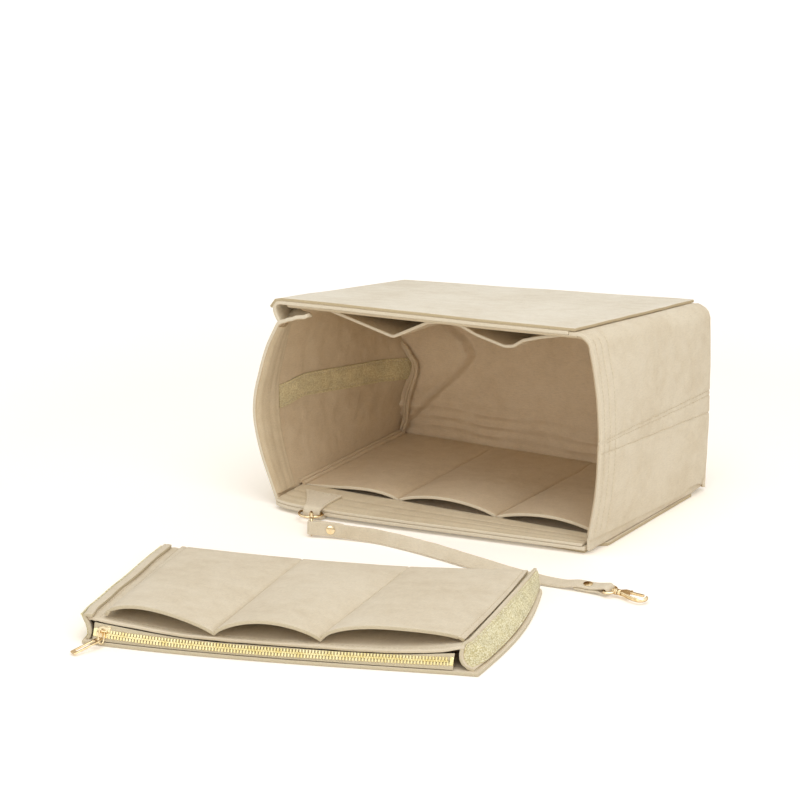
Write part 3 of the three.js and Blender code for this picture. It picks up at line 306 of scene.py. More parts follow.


# Polished light gold with faint tumbling marks, darker towards its grazing edges: a painted dark reflection
def goldMaterial(name, deep, light, roughness):
    material, nodes, links, shader = startMaterial(name, roughness, 1.0)
    place = nodes.new("ShaderNodeTexCoord").outputs["Object"]
    cloud = noiseNode(nodes, links, place, 160, 3, 0.6)
    marks = noiseNode(nodes, links, place, 900, 3, 0.6, (1, 7, 2), 0.5)
    metal = ramp(nodes, links, cloud, [(0.3, deep), (0.7, light)])
    # The base colour darkens where the surface turns away from view: painted dark reflection.
    turned = nodes.new("ShaderNodeLayerWeight")
    turned.inputs["Blend"].default_value = 0.5
    away = turned.outputs["Facing"]
    paintedDarkReflection = ramp(nodes, links, away, [(0.3, grey(1.0)), (0.55, (0.62, 0.5, 0.36)), (0.9, (0.3, 0.2, 0.11))])
    links.new(blend(nodes, links, "MULTIPLY", 1.0, metal, paintedDarkReflection), shader.inputs["Base Color"])
    rough = sums(nodes, links, "ADD", sums(nodes, links, "MULTIPLY", marks, 0.18), roughness - 0.06)
    links.new(rough, shader.inputs["Roughness"])
    links.new(bump(nodes, links, marks, 0.12, 0.0001), shader.inputs["Normal"])
    return material


felt = feltMaterial("pressed felt", feltLook)
# Upper side: a lighter, bluer copy of the felt, painted light on the top.
topFeltPaintedLight = feltMaterial("pressed felt, upper side, painted light", feltLook, (1.1, 1.15, 1.24))
# Inside: a darker, browner copy of the felt, painted shade in the case's interior.
insideFeltPaintedShade = feltMaterial("pressed felt, inside, painted shade", feltLook, (0.96, 0.885, 0.8))
# Base: a warmer copy of the felt, painted warm bounce light inside the case.
baseFeltPaintedBounce = feltMaterial("pressed felt, base, painted bounce light", feltLook, (1.07, 0.985, 0.91))
# Facing: a darker, yellower copy of the felt, painted shade in the mouth.
facingFeltPaintedShade = feltMaterial("pressed felt, facing, painted shade", feltLook, (0.95, 0.92, 0.85))
# Side facings: a darker copy still, painted shade inside the end walls at the mouth.
sideFacingFeltPaintedShade = feltMaterial("pressed felt, side facing, painted shade", feltLook, (0.92, 0.865, 0.78))
cutEdge = cutEdgeMaterial("cut felt edge", feltLook, (0.84, 0.76, 0.61))
# Pouch cut edges: a darker copy of the cut edge, painted shade along the pouch's edges.
pouchLookPaintedShade = {"middle": (0.56, 0.47, 0.31), "light": (0.65, 0.56, 0.39)}
pouchEdgePaintedShade = cutEdgeMaterial("cut felt edge, pouch, painted shade", pouchLookPaintedShade, (0.7, 0.61, 0.44))
# Outer pockets' cut edges: a darker tan copy of the cut edge, painted shade along their edges.
tanLookPaintedShade = {"middle": (0.47, 0.37, 0.22), "light": (0.56, 0.45, 0.28)}
tanEdgePaintedShade = cutEdgeMaterial("cut felt edge, painted shade", tanLookPaintedShade, (0.62, 0.51, 0.33))
thread = twillMaterial("sewing thread", (0.60, 0.49, 0.32), (0.76, 0.66, 0.48), 1400)
loopPile = tapeMaterial("loop tape", loopTapeLook)
hookPile = tapeMaterial("hook tape", hookTapeLook)
zipWeave = twillMaterial("zip tape", (0.66, 0.54, 0.34), (0.86, 0.76, 0.54), 700)
gold = goldMaterial("light gold", (0.78, 0.59, 0.31), (0.95, 0.82, 0.56), 0.16)
toothGold = goldMaterial("zip teeth gold", (0.84, 0.7, 0.3), (0.97, 0.88, 0.52), 0.24)
print("materials made")


# Pieces
def finishPiece(name, bm, body, materials, stands=(), thickness=0.0, edge=0.45, hard=False):
    bmesh.ops.scale(bm, vec=(mm, mm, mm), verts=bm.verts)
    if hard:
        for line in bm.edges:
            line.smooth = line.calc_face_angle(0.0) < math.radians(38)
    mesh = bpy.data.meshes.new(name)
    bm.to_mesh(mesh)
    bm.free()
    for material in materials:
        mesh.materials.append(material)
    for face in mesh.polygons:
        face.use_smooth = True
    piece = bpy.data.objects.new(name, mesh)
    bpy.context.scene.collection.objects.link(piece)
    if thickness:
        piece.vertex_groups.new(name="full")
        wall = piece.modifiers.new("thickness", "SOLIDIFY")
        wall.thickness = thickness * mm
        wall.offset = 0.0
        wall.material_offset_rim = 1
        wall.material_offset = 2 if len(materials) > 2 else 0
        wall.vertex_group = "full"
        wall.use_quality_normals = True
        rounding = piece.modifiers.new("worn edge", "BEVEL")
        rounding.width = edge * mm
        rounding.segments = 2
        rounding.limit_method = "ANGLE"
        rounding.angle_limit = math.radians(55)
    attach(piece, body)
    if stands:
        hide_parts(*stands)
    return piece


# Places along a sheet, closer together beside each sewn line
def stations(length, spacing, seams, half=1.1):
    count = max(2, round(length / spacing))
    even = [length * i / count for i in range(count + 1)]
    kept = [
        place
        for place in even
        if place in (0, length) or all(abs(place - seam) > 1.6 * half for seam in seams)
    ]
    for seam in seams:
        kept += [seam - half, seam, seam + half]
    return [place / length for place in sorted(kept) if 0 <= place <= length]


# A felt sheet: place(u, v) is a point of its middle surface for two shares
def feltSheet(name, place, size, thickness, body, materials, stands,
              across=(), along=(), spacing=3.2, pinch=0.5, edge=0.45, half=1.1, hem=None):
    rowsU = stations(size[0], spacing, across, half)
    rowsV = stations(size[1], spacing, along, half)
    sewnU = {min(range(len(rowsU)), key=lambda i: abs(rowsU[i] * size[0] - seam)) for seam in across}
    sewnV = {min(range(len(rowsV)), key=lambda i: abs(rowsV[i] * size[1] - seam)) for seam in along}
    bm = bmesh.new()
    bmesh.ops.create_grid(bm, x_segments=len(rowsU) - 1, y_segments=len(rowsV) - 1, size=1, calc_uvs=True)
    weight = bm.verts.layers.deform.verify()
    spots = {}
    for vert in bm.verts:
        i = round((vert.co.x + 1) / 2 * (len(rowsU) - 1))
        j = round((vert.co.y + 1) / 2 * (len(rowsV) - 1))
        vert.co = Vector(place(rowsU[i], rowsV[j]))
        vert[weight][0] = pinch if i in sewnU or j in sewnV else 1.0
        if hem:
            vert[weight][0] *= hem(rowsU[i], rowsV[j])
        spots[vert] = (rowsU[i] * size[0] * mm, rowsV[j] * size[1] * mm)
    flat = bm.loops.layers.uv.verify()
    for face in bm.faces:
        for loop in face.loops:
            loop[flat].uv = spots[loop.vert]
    return finishPiece(name, bm, body, materials, stands, thickness, edge)


# Thread: a row of short stitches sunk in a sewn line, from share to share of a sheet
def stitchPattern():
    bm = bmesh.new()
    bmesh.ops.create_uvsphere(bm, u_segments=6, v_segments=4, radius=1, calc_uvs=True)
    bmesh.ops.rotate(bm, matrix=Matrix.Rotation(math.pi / 2, 3, "Y"), verts=bm.verts)
    mesh = bpy.data.meshes.new("stitch")
    bm.to_mesh(mesh)
    bm.free()
    return mesh


oneStitch = stitchPattern()


def stitchRow(bm, place, start, end, length, lift, stitch=2.9, gap=0.9, radius=0.3):
    count = max(1, int(length / (stitch + gap)))
    step = 0.004
    for i in range(count):
        share = (i + 0.5) / count
        u, v = mix(start[0], end[0], share), mix(start[1], end[1], share)
        here = Vector(place(u, v))
        runU, runV = end[0] - start[0], end[1] - start[1]
        further = Vector(place(clamp(u + runU * step), clamp(v + runV * step)))
        before = Vector(place(clamp(u - runU * step), clamp(v - runV * step)))
        run = (further - before).normalized()
        sideU = Vector(place(clamp(u + step), v)) - Vector(place(clamp(u - step), v))
        sideV = Vector(place(u, clamp(v + step))) - Vector(place(u, clamp(v - step)))
        up = sideU.cross(sideV).normalized() * (1 if lift > 0 else -1)
        wide = up.cross(run).normalized()
        turn = Matrix((run, wide, up)).transposed().to_4x4()
        shape = Matrix.Diagonal((stitch / 2, radius, radius, 1))
        spot = Matrix.Translation(here + up * abs(lift))
        copy = oneStitch.copy()
        copy.transform(spot @ turn @ shape)
        bm.from_mesh(copy)
        bpy.data.meshes.remove(copy)


# Rows of stitches for sewn: level ones at places up a sheet, upward ones at places across it
def levelRows(place, spots, height, ends, length, lift):
    return [(place, (ends[0], spot / height), (ends[1], spot / height), length, lift) for spot in spots]


def upwardRows(place, spots, width, ends, length, lift):
    return [(place, (spot / width, ends[0]), (spot / width, ends[1]), length, lift) for spot in spots]


def sewn(name, body, rows):
    bm = bmesh.new()
    for row in rows:
        stitchRow(bm, *row)
    return finishPiece(name, bm, body, [thread], ())


# A bent wire or cord as a tube through points, with its radius at each
def tube(bm, points, radii, closed=False, sides=5, matrix=None):
    curve = bpy.data.curves.new("wire", "CURVE")
    curve.dimensions = "3D"
    curve.bevel_depth = 1.0
    curve.bevel_resolution = sides
    curve.use_fill_caps = True
    spline = curve.splines.new("POLY")
    spline.points.add(len(points) - 1)
    for knot, point, radius in zip(spline.points, points, radii):
        knot.co = (*point, 1)
        knot.radius = radius
    spline.use_cyclic_u = closed
    holder = bpy.data.objects.new("wire", curve)
    mesh = bpy.data.meshes.new_from_object(holder)
    if matrix:
        mesh.transform(matrix)
    bm.from_mesh(mesh)
    bpy.data.objects.remove(holder)
    bpy.data.curves.remove(curve)
    bpy.data.meshes.remove(mesh)


def smoothPath(points, count, closed=False):  # even points on a round curve through the given ones
    knots = [Vector(point) for point in points]
    ring = len(knots) if closed else len(knots) - 1
    fine = []
    for i in range(ring):
        a = knots[(i - 1) % len(knots)] if closed or i > 0 else 2 * knots[0] - knots[1]
        b = knots[i]
        c = knots[(i + 1) % len(knots)]
        d = knots[(i + 2) % len(knots)] if closed or i + 2 < len(knots) else 2 * c - b
        spans = [max((q - p).length_squared, 1e-8) ** 0.25 for p, q in ((a, b), (b, c), (c, d))]
        before = ((b - a) / spans[0] - (c - a) / (spans[0] + spans[1]) + (c - b) / spans[1]) * spans[1]
        after = ((c - b) / spans[1] - (d - b) / (spans[1] + spans[2]) + (d - c) / spans[2]) * spans[1]
        for j in range(40):
            t = j / 40
            square, cube = t * t, t * t * t
            fine.append(
                b * (2 * cube - 3 * square + 1)
                + before * (cube - 2 * square + t)
                + c * (3 * square - 2 * cube)
                + after * (cube - square)
            )
    fine.append(knots[0].copy() if closed else knots[-1].copy())
    lengths = [0.0]
    for first, second in zip(fine, fine[1:]):
        lengths.append(lengths[-1] + (second - first).length)
    even = []
    place = 0
    for i in range(count):
        goal = lengths[-1] * i / (count if closed else count - 1)
        while place < len(lengths) - 2 and lengths[place + 1] < goal:
            place += 1
        span = max(lengths[place + 1] - lengths[place], 1e-9)
        even.append(fine[place].lerp(fine[place + 1], clamp((goal - lengths[place]) / span)))
    return even


# Key strap: its middle line runs from the first clasp's bar, as in the frame
strapForm = {
    "width": 11.0,
    "thickness": 1.8,
    "overlap": 27.0,
    "closing": 9.0,
    "layerDrop": 2.2,
    "foldMiddle": 2.504,
    "barA": (-76.752, -163.720),
    "edge": 0.35,
    "runSteps": 90,
    "endSteps": 12,
    "foldSteps": 10,
    "rivet": 16,  # from each fold
    "route": [  # along x, across, height, lean in degrees
        (0, 0, 7.5, 88), (6, 2.7, 7.4, 88), (17, 6, 7, 87), (32, 9, 6.4, 84), (53, 12.4, 5.8, 77),
        (82, 10, 5.6, 68), (107, 6, 5.4, 60), (142, -1, 4.8, 46), (177, -6.5, 3.8, 30),
        (199, -7.5, 3, 20), (226, -6, 2.4, 10), (238, -5.6, 4.5, 8), (252, -5.4, 4.6, 6),
        (262, -6.4, 6.9, 5),
    ],
}
strapLine = smoothPath([point[:3] for point in strapForm["route"]], 400)
strapLength = sum((b - a).length for a, b in zip(strapLine, strapLine[1:]))


def strapLean(point):  # how far the strap leans up on its edge, for a place along x
    knots = [(x, lean) for x, _, _, lean in strapForm["route"]]
    return math.radians(linked(knots, point.x))


def strapFrame(share):
    place = clamp(share) * (len(strapLine) - 1)
    low = min(int(place), len(strapLine) - 2)
    middle = strapLine[low].lerp(strapLine[low + 1], place - low)
    first, last = max(low - 1, 0), min(low + 2, len(strapLine) - 1)
    run = (strapLine[last] - strapLine[first]).normalized()
    side = Vector((0, 0, 1)).cross(run).normalized()
    upward = run.cross(side)
    lean = strapLean(middle)
    wide = side * math.cos(lean) + upward * math.sin(lean)
    return middle, run, wide, run.cross(wide).normalized()


def barPlace(end):
    middle, _, _, face = strapFrame(end)
    return middle - face * strapForm["foldMiddle"]


strapShift = Vector((*strapForm["barA"], 0)) - barPlace(0)
strapShift.z = 0


def strapStations():
    form = strapForm
    rows = []

    def under(end, distance):
        share = distance / strapLength
        middle, _, wide, face = strapFrame(share if end == 0 else 1 - share)
        parted = max(0.0, 1 - distance / form["closing"])
        drop = mix(form["layerDrop"], 2 * form["foldMiddle"], parted * parted * (3 - 2 * parted))
        rows.append((middle - face * drop, wide, -face))

    def fold(end, turn):
        _, run, wide, face = strapFrame(end)
        outward = run * (-1 if end == 0 else 1)
        swing = turn if end == 0 else math.pi - turn
        outer = face * -math.cos(swing) + outward * math.sin(swing)
        rows.append((barPlace(end) + outer * form["foldMiddle"], wide, outer))

    endSteps, foldSteps = form["endSteps"], form["foldSteps"]
    for i in range(endSteps):
        under(0, form["overlap"] * (1 - i / endSteps))
    for i in range(foldSteps + 1):
        fold(0, math.pi * i / foldSteps)
    for i in range(1, form["runSteps"]):
        middle, _, wide, face = strapFrame(i / form["runSteps"])
        rows.append((middle, wide, face))
    for i in range(foldSteps + 1):
        fold(1, math.pi * i / foldSteps)
    for i in range(1, endSteps + 1):
        under(1, form["overlap"] * i / endSteps)
    return [(place + strapShift, wide, face) for place, wide, face in rows]


def makeStrap():
    rows = strapStations()
    bm = bmesh.new()
    cuts = [-1.0, -0.86, -0.3, 0.3, 0.86, 1.0]
    bmesh.ops.create_grid(bm, x_segments=len(rows) - 1, y_segments=len(cuts) - 1, size=1, calc_uvs=True)
    weight = bm.verts.layers.deform.verify()
    half = strapForm["width"] / 2
    for vert in bm.verts:
        i = round((vert.co.x + 1) / 2 * (len(rows) - 1))
        j = round((vert.co.y + 1) / 2 * (len(cuts) - 1))
        place, wide, face = rows[i]
        nearEnd = min(i, len(rows) - 1 - i)
        narrow = 1 - 0.22 * (1 - clamp(nearEnd / 2)) ** 2
        wander = 0.25 * ripple(i * 3.0, j, 0, 9, 3.1)
        reach = cuts[j] * half * narrow + wander * cuts[j]
        vert.co = place + wide * reach + face * 0.12 * ripple(i * 3.0, j, 5, 7)
        vert[weight][0] = 0.8 if abs(cuts[j]) > 0.9 else 1.0
    piece = finishPiece(
        "strap_felt", bm, "case", [felt, cutEdge], ("key_strap",),
        thickness=strapForm["thickness"], edge=strapForm["edge"],
    )
    path = [place * mm for place, wide, face in rows]
    return piece, path


strap, strapPath = makeStrap()
print("strap laid, %.0f mm" % (1000 * sum((b - a).length for a, b in zip(strapPath, strapPath[1:]))))

# Case: the wall lines of the frame, with the bends and waves that felt has
caseForm = {
    "length": 298.0,
    "depth": 206.0,
    "wall": 3.0,
    "lining": 2.5,
    "gap": 0.3,
    "leftLow": -143.0,
    "rightLow": 133.0,
    "leftTop": -145.0,
    "rightTop": 132.0,
    "leftHeight": 173.5,
    "rightHeight": 178.5,
    "backHeight": 151.75,
    "backRise": 16.5,
    "leftBow": 20.3,
    "rightBow": 13.0,
    "leftBackBow": 12.0,
    "rightBackBow": 2.0,
    "lipBow": 16.0,
    "rightCorner": 14.0,
    "leftCorner": 6.0,
    "upperSeam": (92, 86),
    "lowerSeam": (84, 68),
    "wave": 1.1,
    "crease": 1.0,
    "cornerBulge": 12.5,  # where the left wall presses in beside the base
}
halfDepth = caseForm["depth"] / 2
halfLength = caseForm["length"] / 2
wallFelt = caseForm["wall"]
liningFelt = caseForm["lining"]
seamGap = caseForm["gap"]
lowWallBottom = liningFelt + seamGap
lowLining = lowWallBottom + wallFelt + seamGap
backInner = halfDepth - wallFelt


def depthShare(y):
    return clamp((y + halfDepth) / caseForm["depth"], -0.15, 1.0)


def endHeight(side, y):
    front = caseForm["leftHeight"] if side < 0 else caseForm["rightHeight"]
    return mix(front, caseForm["backHeight"] + side * caseForm["backRise"] / 2, depthShare(y))


def wallWave(side, y, share):  # slow waves in an end wall, none at its sewn edges
    inside = sine(share) ** 0.6 * (1 - 0.7 * ease(y, 70, 100))
    broad = ripple(y, side * 40, share * 160, 62, 4.3) * caseForm["wave"] * 1.5
    fine = ripple(y, side * 40, share * 160, 19, 9.1) * caseForm["wave"] * 0.45
    slanted = ripple(y * 0.5 + share * 110, side * 30, y * 0.9 - share * 60, 15, 3.6)
    crease = 0.9 - 3.6 * min(0.25, abs(slanted))
    return (broad + fine - side * caseForm["crease"] * crease * ease(y, -80, -55)) * inside


def leftBend(share):  # the left wall bulges most a little below its middle
    bent = sine(share ** 0.944)
    return bent ** (1.2 if share < 0.48 else 1.44)


def mouthFold(y):  # 1 at the mouth, where the upper left corner is folded in, and 0 further back
    return 1 - ease(y, -103, -78)


def endWallX(side, y, share):
    depth = depthShare(y)
    form = caseForm
    low = mix(form["leftLow"] if side < 0 else form["rightLow"], side * halfLength, depth)
    top = mix(form["leftTop"] if side < 0 else form["rightTop"], side * halfLength, depth)
    front = -form["leftBow"] if side < 0 else form["rightBow"]
    back = form["leftBackBow"] if side < 0 else form["rightBackBow"]
    shape = sine(share) ** 0.85
    bow = mix(front * (leftBend(share) if side < 0 else shape), back * shape, depth)
    if side < 0:
        rise = share * endHeight(side, y)
        bow += (3.4 * ease(rise, 66, 122) + 3.6 * ease(rise, 132, 160)) * mouthFold(y)
        bow += form["cornerBulge"] * math.exp(-(((rise - 76) / 21) ** 2)) * ease(y, 50, 97)
    return mix(low, top, clamp(share)) + bow + wallWave(side, y, clamp(share))


def topOuter(x, y):
    left = mix(caseForm["leftTop"], -halfLength, depthShare(y))
    right = mix(125.0, halfLength, depthShare(y))
    level = mix(endHeight(-1, y), endHeight(1, y), (x - left) / (right - left))
    inside = sine((x - left) / (right - left)) ** 0.5
    waves = 0.9 * ripple(x, y, 0, 85, 2.2) - 0.8 * sine((y + halfDepth) / caseForm["depth"])
    return level + inside * waves


def mouthY(x):
    return -halfDepth + 0.04 * x


def lipY(x):
    span = caseForm["rightLow"] - caseForm["leftLow"]
    share = clamp((x - caseForm["leftLow"]) / span)
    return mouthY(x) - caseForm["lipBow"] * sine(share ** 0.41)


pocketEdge = {"rightFront": 121.0, "rightInset": 16.0, "overlap": 6.0}


def topPocketRight(y):
    return mix(pocketEdge["rightFront"], halfLength - pocketEdge["rightInset"], depthShare(y))


seamShares = (0.38, 0.45)  # rows of the right wall that follow its stitch lines


def rightLift(y):  # a short arch in the foot of the right wall, before its back corner
    return 4.0 * ease(y, 60, 69) * (1 - ease(y, 84, 99))


def rightFoot(y):
    return mix(13.0, 4.8, depthShare(y)) + rightLift(y)


# Right wall, outer face: it rolls over into the top, under the outer pocket's edge
def rightSection(y, v, inward, firm=True):
    height = endHeight(1, y)
    corner = caseForm["rightCorner"]
    edge = endWallX(1, y, (height - corner) / height)
    flat = edge - corner - topPocketRight(y) + pocketEdge["overlap"] - 0.15
    low = rightFoot(y)
    upright = height - corner - low
    roll = corner * math.pi / 2
    lines = []
    if firm:
        lines = [mix(*caseForm[seam], depthShare(y)) - low for seam in ("lowerSeam", "upperSeam")]
        total = upright + roll + flat
        along = linked([(0, 0), (seamShares[0], lines[0]), (seamShares[1], lines[1]), (1, total)], v)
    else:
        along = v * (upright + roll)
    if along < upright:
        z = low + along
        share = z / height
        x = endWallX(1, y, share)
        flare = 0.9 * (1 - ease(z - low, 0, 5))
        tuck = 3.5 * ease(y, 88, 101) * (1 - ease(z - low, 0, 11)) ** 2
        for line in lines:
            flare -= 0.5 * math.exp(-(((along - line) / 1.2) ** 2))
        return Vector((x + flare - tuck - inward, y, z))
    if along < upright + roll:
        turn = (along - upright) / corner
        reach = corner - inward
        x = edge - corner + reach * math.cos(turn)
        return Vector((x, y, height - corner + reach * math.sin(turn)))
    x = edge - corner - (along - upright - roll)
    return Vector((x, y, topOuter(x, y) - inward))


def rightWallPlace(u, v):
    return rightSection(mix(mouthY(126), backInner - seamGap, u), v, wallFelt / 2)


endRows = [6, 15, 25]  # rows sewn up both end walls, beside the mouth
rightSize = (205, 190)
lowSeam, highSeam = (share * rightSize[1] for share in seamShares)
rightSeams = [lowSeam, highSeam - 2.0, highSeam + 1.8]
feltSheet(
    "right_wall_felt", rightWallPlace, rightSize, wallFelt, "case", [felt, cutEdge, insideFeltPaintedShade],
    ("right_end_wall",), across=endRows, along=rightSeams, pinch=0.62,
)


# Below the right wall the seam allowance of the lower wall shows as a strip
def rightHemPlace(u, v):
    y = mix(mouthY(126) + 1.5, 99, u)
    top = rightFoot(min(y, 84)) + 0.6
    z = mix(lowWallBottom + 0.3, top, v)
    back = 1.6 * ease(y, 74, 92)
    x = endWallX(1, y, rightFoot(y) / endHeight(1, y)) - 1.2 - back - 1.1 * (1 - ease(y, -103, -97))
    return Vector((x - liningFelt / 2 + 0.5 * ripple(y, 0, 0, 7, 2.8) * (1 - ease(y, -95, -60)), y, z))


feltSheet(
    "low_right_hem_felt", rightHemPlace, (196, 8), liningFelt, "case", [felt, cutEdge], (), edge=0.6,
)


def leftWallTop(y):
    return endHeight(-1, y) - wallFelt - 5.2 - 9.5 * mouthFold(y)


def leftTuck(z, height):  # the left wall leans in below the hooked edge of the top wall
    return 3.3 * ease(z, height - 16, height - 11)


# Left wall: its upper front corner is tucked over to the inside, and crumpled
def leftWallPlace(u, v):
    y = mix(mouthY(-155), backInner - seamGap, u)
    height = endHeight(-1, y)
    top = leftWallTop(y)
    turn = 4.0
    reach = 20 * mouthFold(y)
    upright = top - turn - lowWallBottom
    along = v * (upright + turn * math.pi / 2 + reach)
    if along < upright:
        z = lowWallBottom + along
        forward = 0.0
    elif along < upright + turn * math.pi / 2:
        bend = (along - upright) / turn
        z = top - turn + turn * math.sin(bend)
        forward = turn * (1 - math.cos(bend))
    else:
        flat = along - upright - turn * math.pi / 2
        crumple = 1.5 * ripple(flat, y, 0, 5.5, 8.4) + 0.9 * ripple(flat, y, 9, 2.6, 1.4)
        z = top + flat * (0.1 + 0.32 * mouthFold(y)) + crumple * ease(flat, 0, 5)
        forward = turn + flat
    x = endWallX(-1, y, min(z, top) / height) + wallFelt / 2
    return Vector((x + leftTuck(z, height) + forward, y, z))


leftSize = (205, 184)
feltSheet(
    "left_wall_felt", leftWallPlace, leftSize, wallFelt, "case", [insideFeltPaintedShade, cutEdge, felt],
    ("left_end_wall",), across=endRows, pinch=0.74,
)


# Top wall: its left edge hooks down round the corner
def topWallPlace(u, v):
    corner = caseForm["leftCorner"]
    y = mix(-halfDepth, backInner - seamGap, v)
    drop = mix(7.0, 12.0, mouthFold(y))
    left = mix(caseForm["leftTop"], -halfLength, depthShare(y))
    right = topPocketRight(y) - pocketEdge["overlap"]
    flat = right - left - corner
    roll = corner * math.pi / 2
    along = u * (drop + roll + flat)
    half = wallFelt / 2
    if along < drop:
        curl = 5.2 * (1 - along / drop) ** 2 * mouthFold(y) ** 0.5
        x, z = left + half + curl, topOuter(left, y) - corner - drop + along
    elif along < drop + roll:
        turn = (along - drop) / corner
        x = left + corner - (corner - half) * math.cos(turn)
        z = topOuter(left, y) - corner + (corner - half) * math.sin(turn)
    else:
        x = left + corner + along - drop - roll
        z = topOuter(x, y) - half
    return Vector((x, y + (mouthY(x) + halfDepth) * (1 - v), z))


feltSheet(
    "top_wall_felt", topWallPlace, (285, 203), wallFelt, "case", [felt, cutEdge], ("back_wall",),
)


# Outer pocket on the top: a little proud of the wall, its front left corner hooks down
def topPocketPlace(u, v):
    y = mix(-halfDepth, halfDepth - 0.6, v)
    corner = caseForm["leftCorner"] + 2
    left = mix(caseForm["leftTop"], -halfLength, depthShare(y)) - 0.6
    right = topPocketRight(y)
    hook = 5.0 * (1 - 0.6 * ease(v, 0, 0.5))
    along = u * (hook + right - left)
    half = liningFelt / 2 + 0.1
    if along < hook:
        turn = math.radians(12) + (along / hook) * math.radians(78)
        x = left + corner - (corner + half) * math.cos(turn)
        z = topOuter(left, y) - corner + (corner + half) * math.sin(turn)
        x = max(x, left - 2.0)
    else:
        x = mix(left + corner, right, (along - hook) / (right - left))
        z = topOuter(x, y) + half
    curl = 0.5 * ripple(x, y, 0, 34, 6.6) * ease(x, right - 40, right)
    lift = 0.05 + abs(curl)
    return Vector((x, y + (mouthY(x) + halfDepth) * (1 - v), z + lift))


feltSheet(
    "top_outer_pocket_felt", topPocketPlace, (280, 206), liningFelt, "case", [topFeltPaintedLight, tanEdgePaintedShade],
    ("back_outer_pocket",), edge=0.5,
)
print("outer walls made")


# Base panel, inside: pulled forward at the left into a facet, rippled along its lower seam
baseForm = {
    "crease": [  # height, and the place of the fold along x
        (11, -142), (30, -122), (55, -97), (72, -80), (82, -71),
        (89, -67.5), (100, -74), (113, -96), (150, -118),
    ],
    "forward": 14.5,
    "ripple": 4.2,
    "reach": 17.0,
}


def baseFront(x, z):
    fold = linked(baseForm["crease"], z)
    away = max(0.0, fold - x)
    facet = baseForm["forward"] * (1 - math.exp(-away / 17)) * ease(z, 6, 40) * (1 - 0.5 * ease(z, 100, 150))
    ridge = -4.4 * math.exp(-(((x - fold) / 2.4) ** 2)) * ease(z, 12, 30)
    second = 2.9 * math.exp(-(((x - fold + 6.5) / 2.4) ** 2)) * ease(z, 16, 34)
    bend = z + 4.5 * ripple(x, 0, z, 46, 1.7) + 0.02 * x
    low = math.exp(-(((z - 27) / 17) ** 2))
    crest = 1 - abs(math.sin(bend / 19 * 2 * math.pi)) ** 0.7
    rows = 1.3 * baseForm["ripple"] * crest * low * (0.75 + 0.6 * ripple(x, 0, z, 33, 8.0))
    broad = 3.0 * ripple(x, 10, z, 60, 5.2) + 0.8 * ripple(x, 10, z, 21, 2.6)
    return facet + ridge + second + rows + broad * sine(z / 160)


def basePlace(u, v):
    x = mix(-halfLength + 0.5, halfLength - 0.5, u)
    corner = caseForm["rightCorner"]
    top = topOuter(x, halfDepth) - 0.6 - rounded(halfLength - x, corner)
    z = mix(lowWallBottom, top, v)
    sideCut = 5 * (1 - math.sqrt(1 - clamp((abs(x) - halfLength + 7) / 7, 0, 0.98) ** 2))
    forward = min(baseForm["reach"], max(0.0, baseFront(x, z)))
    return Vector((x, halfDepth - wallFelt / 2 - forward - sideCut, z))


baseSize = (297, 155)
feltSheet(
    "base_panel_felt", basePlace, baseSize, wallFelt, "case", [baseFeltPaintedBounce, cutEdge, felt],
    ("base_panel",), spacing=2.4,
)
print("base made")


# Rows sewn along each facing, counted from its edge at the mouth
facingRows = {"lower": (5, 14, 25), "upper": (5, 14, 25), "left": (4.5, 11.5, 17.5), "right": (6, 14, 25)}


# Lower wall, its facing, and the outer pocket below it
def lowLeft(y):
    return mix(caseForm["leftLow"], -halfLength, depthShare(y))


def lowRight(y):
    return mix(caseForm["rightLow"], halfLength, depthShare(y)) - 4 * ease(y, 62, 100)


def lowWallPlace(u, v):
    lip = lipY(mix(lowLeft(-halfDepth) + wallFelt + 0.2, lowRight(-halfDepth) - 1.6, u))
    y = mix(lip, backInner - seamGap, v)
    x = mix(lowLeft(y) + wallFelt + 0.2, lowRight(y) - 1.6, u)
    return Vector((x, y, lowWallBottom + wallFelt / 2))


feltSheet("low_wall_felt", lowWallPlace, (280, 215), wallFelt, "case", [felt, cutEdge], ("front_wall",))


def lowFacingPlace(u, v):
    lip = lipY(mix(lowLeft(-halfDepth) + wallFelt + 0.8, lowRight(-halfDepth) - wallFelt - 0.8, u))
    y = mix(lip, -halfDepth + 31, v)
    x = mix(lowLeft(y) + wallFelt + 0.8, lowRight(y) - wallFelt - 0.8, u)
    puff = 0.5 * sine(v) * ripple(x, y, 0, 24, 7.7)
    return Vector((x, y, lowLining + liningFelt / 2 + abs(puff)))


lowFacingSize = (270, 40)
feltSheet(
    "low_facing_felt", lowFacingPlace, lowFacingSize, liningFelt, "case", [facingFeltPaintedShade, cutEdge],
    ("front_rim_facing",), along=facingRows["lower"], pinch=0.55,
)


def lowOuterPlace(u, v):
    y = mix(-halfDepth + 8, halfDepth - wallFelt, v)
    splay = mix(138.2, 147.2, depthShare(y))
    right = mix(caseForm["rightLow"] - 2, splay, ease(y, -76, -69)) - 12 * ease(y, 78, 88)
    return Vector((mix(lowLeft(y) + 9, right, u), y, liningFelt / 2))


feltSheet(
    "low_outer_pocket_felt", lowOuterPlace, (280, 200), liningFelt, "case", [felt, tanEdgePaintedShade],
    ("front_outer_pocket",),
)

# Inner slip pockets on the lower wall: three arches
lowPockets = {
    "front": 32.0,
    "arch": [6.2, 9.6, 9.6],
    "steep": [2.0, 1.05, 1.12],
    "power": 0.62,
    "bulge": 3.0,
    "width": 276,
}


def lowPocketStand(u, v):
    place = clamp(u) * 3
    number = min(2, int(place))
    within = place - number
    skewed = within ** lowPockets["steep"][number]
    arch = sine(skewed) ** lowPockets["power"]
    return lowPockets["arch"][number] * arch * (1 - v) ** 0.75, arch


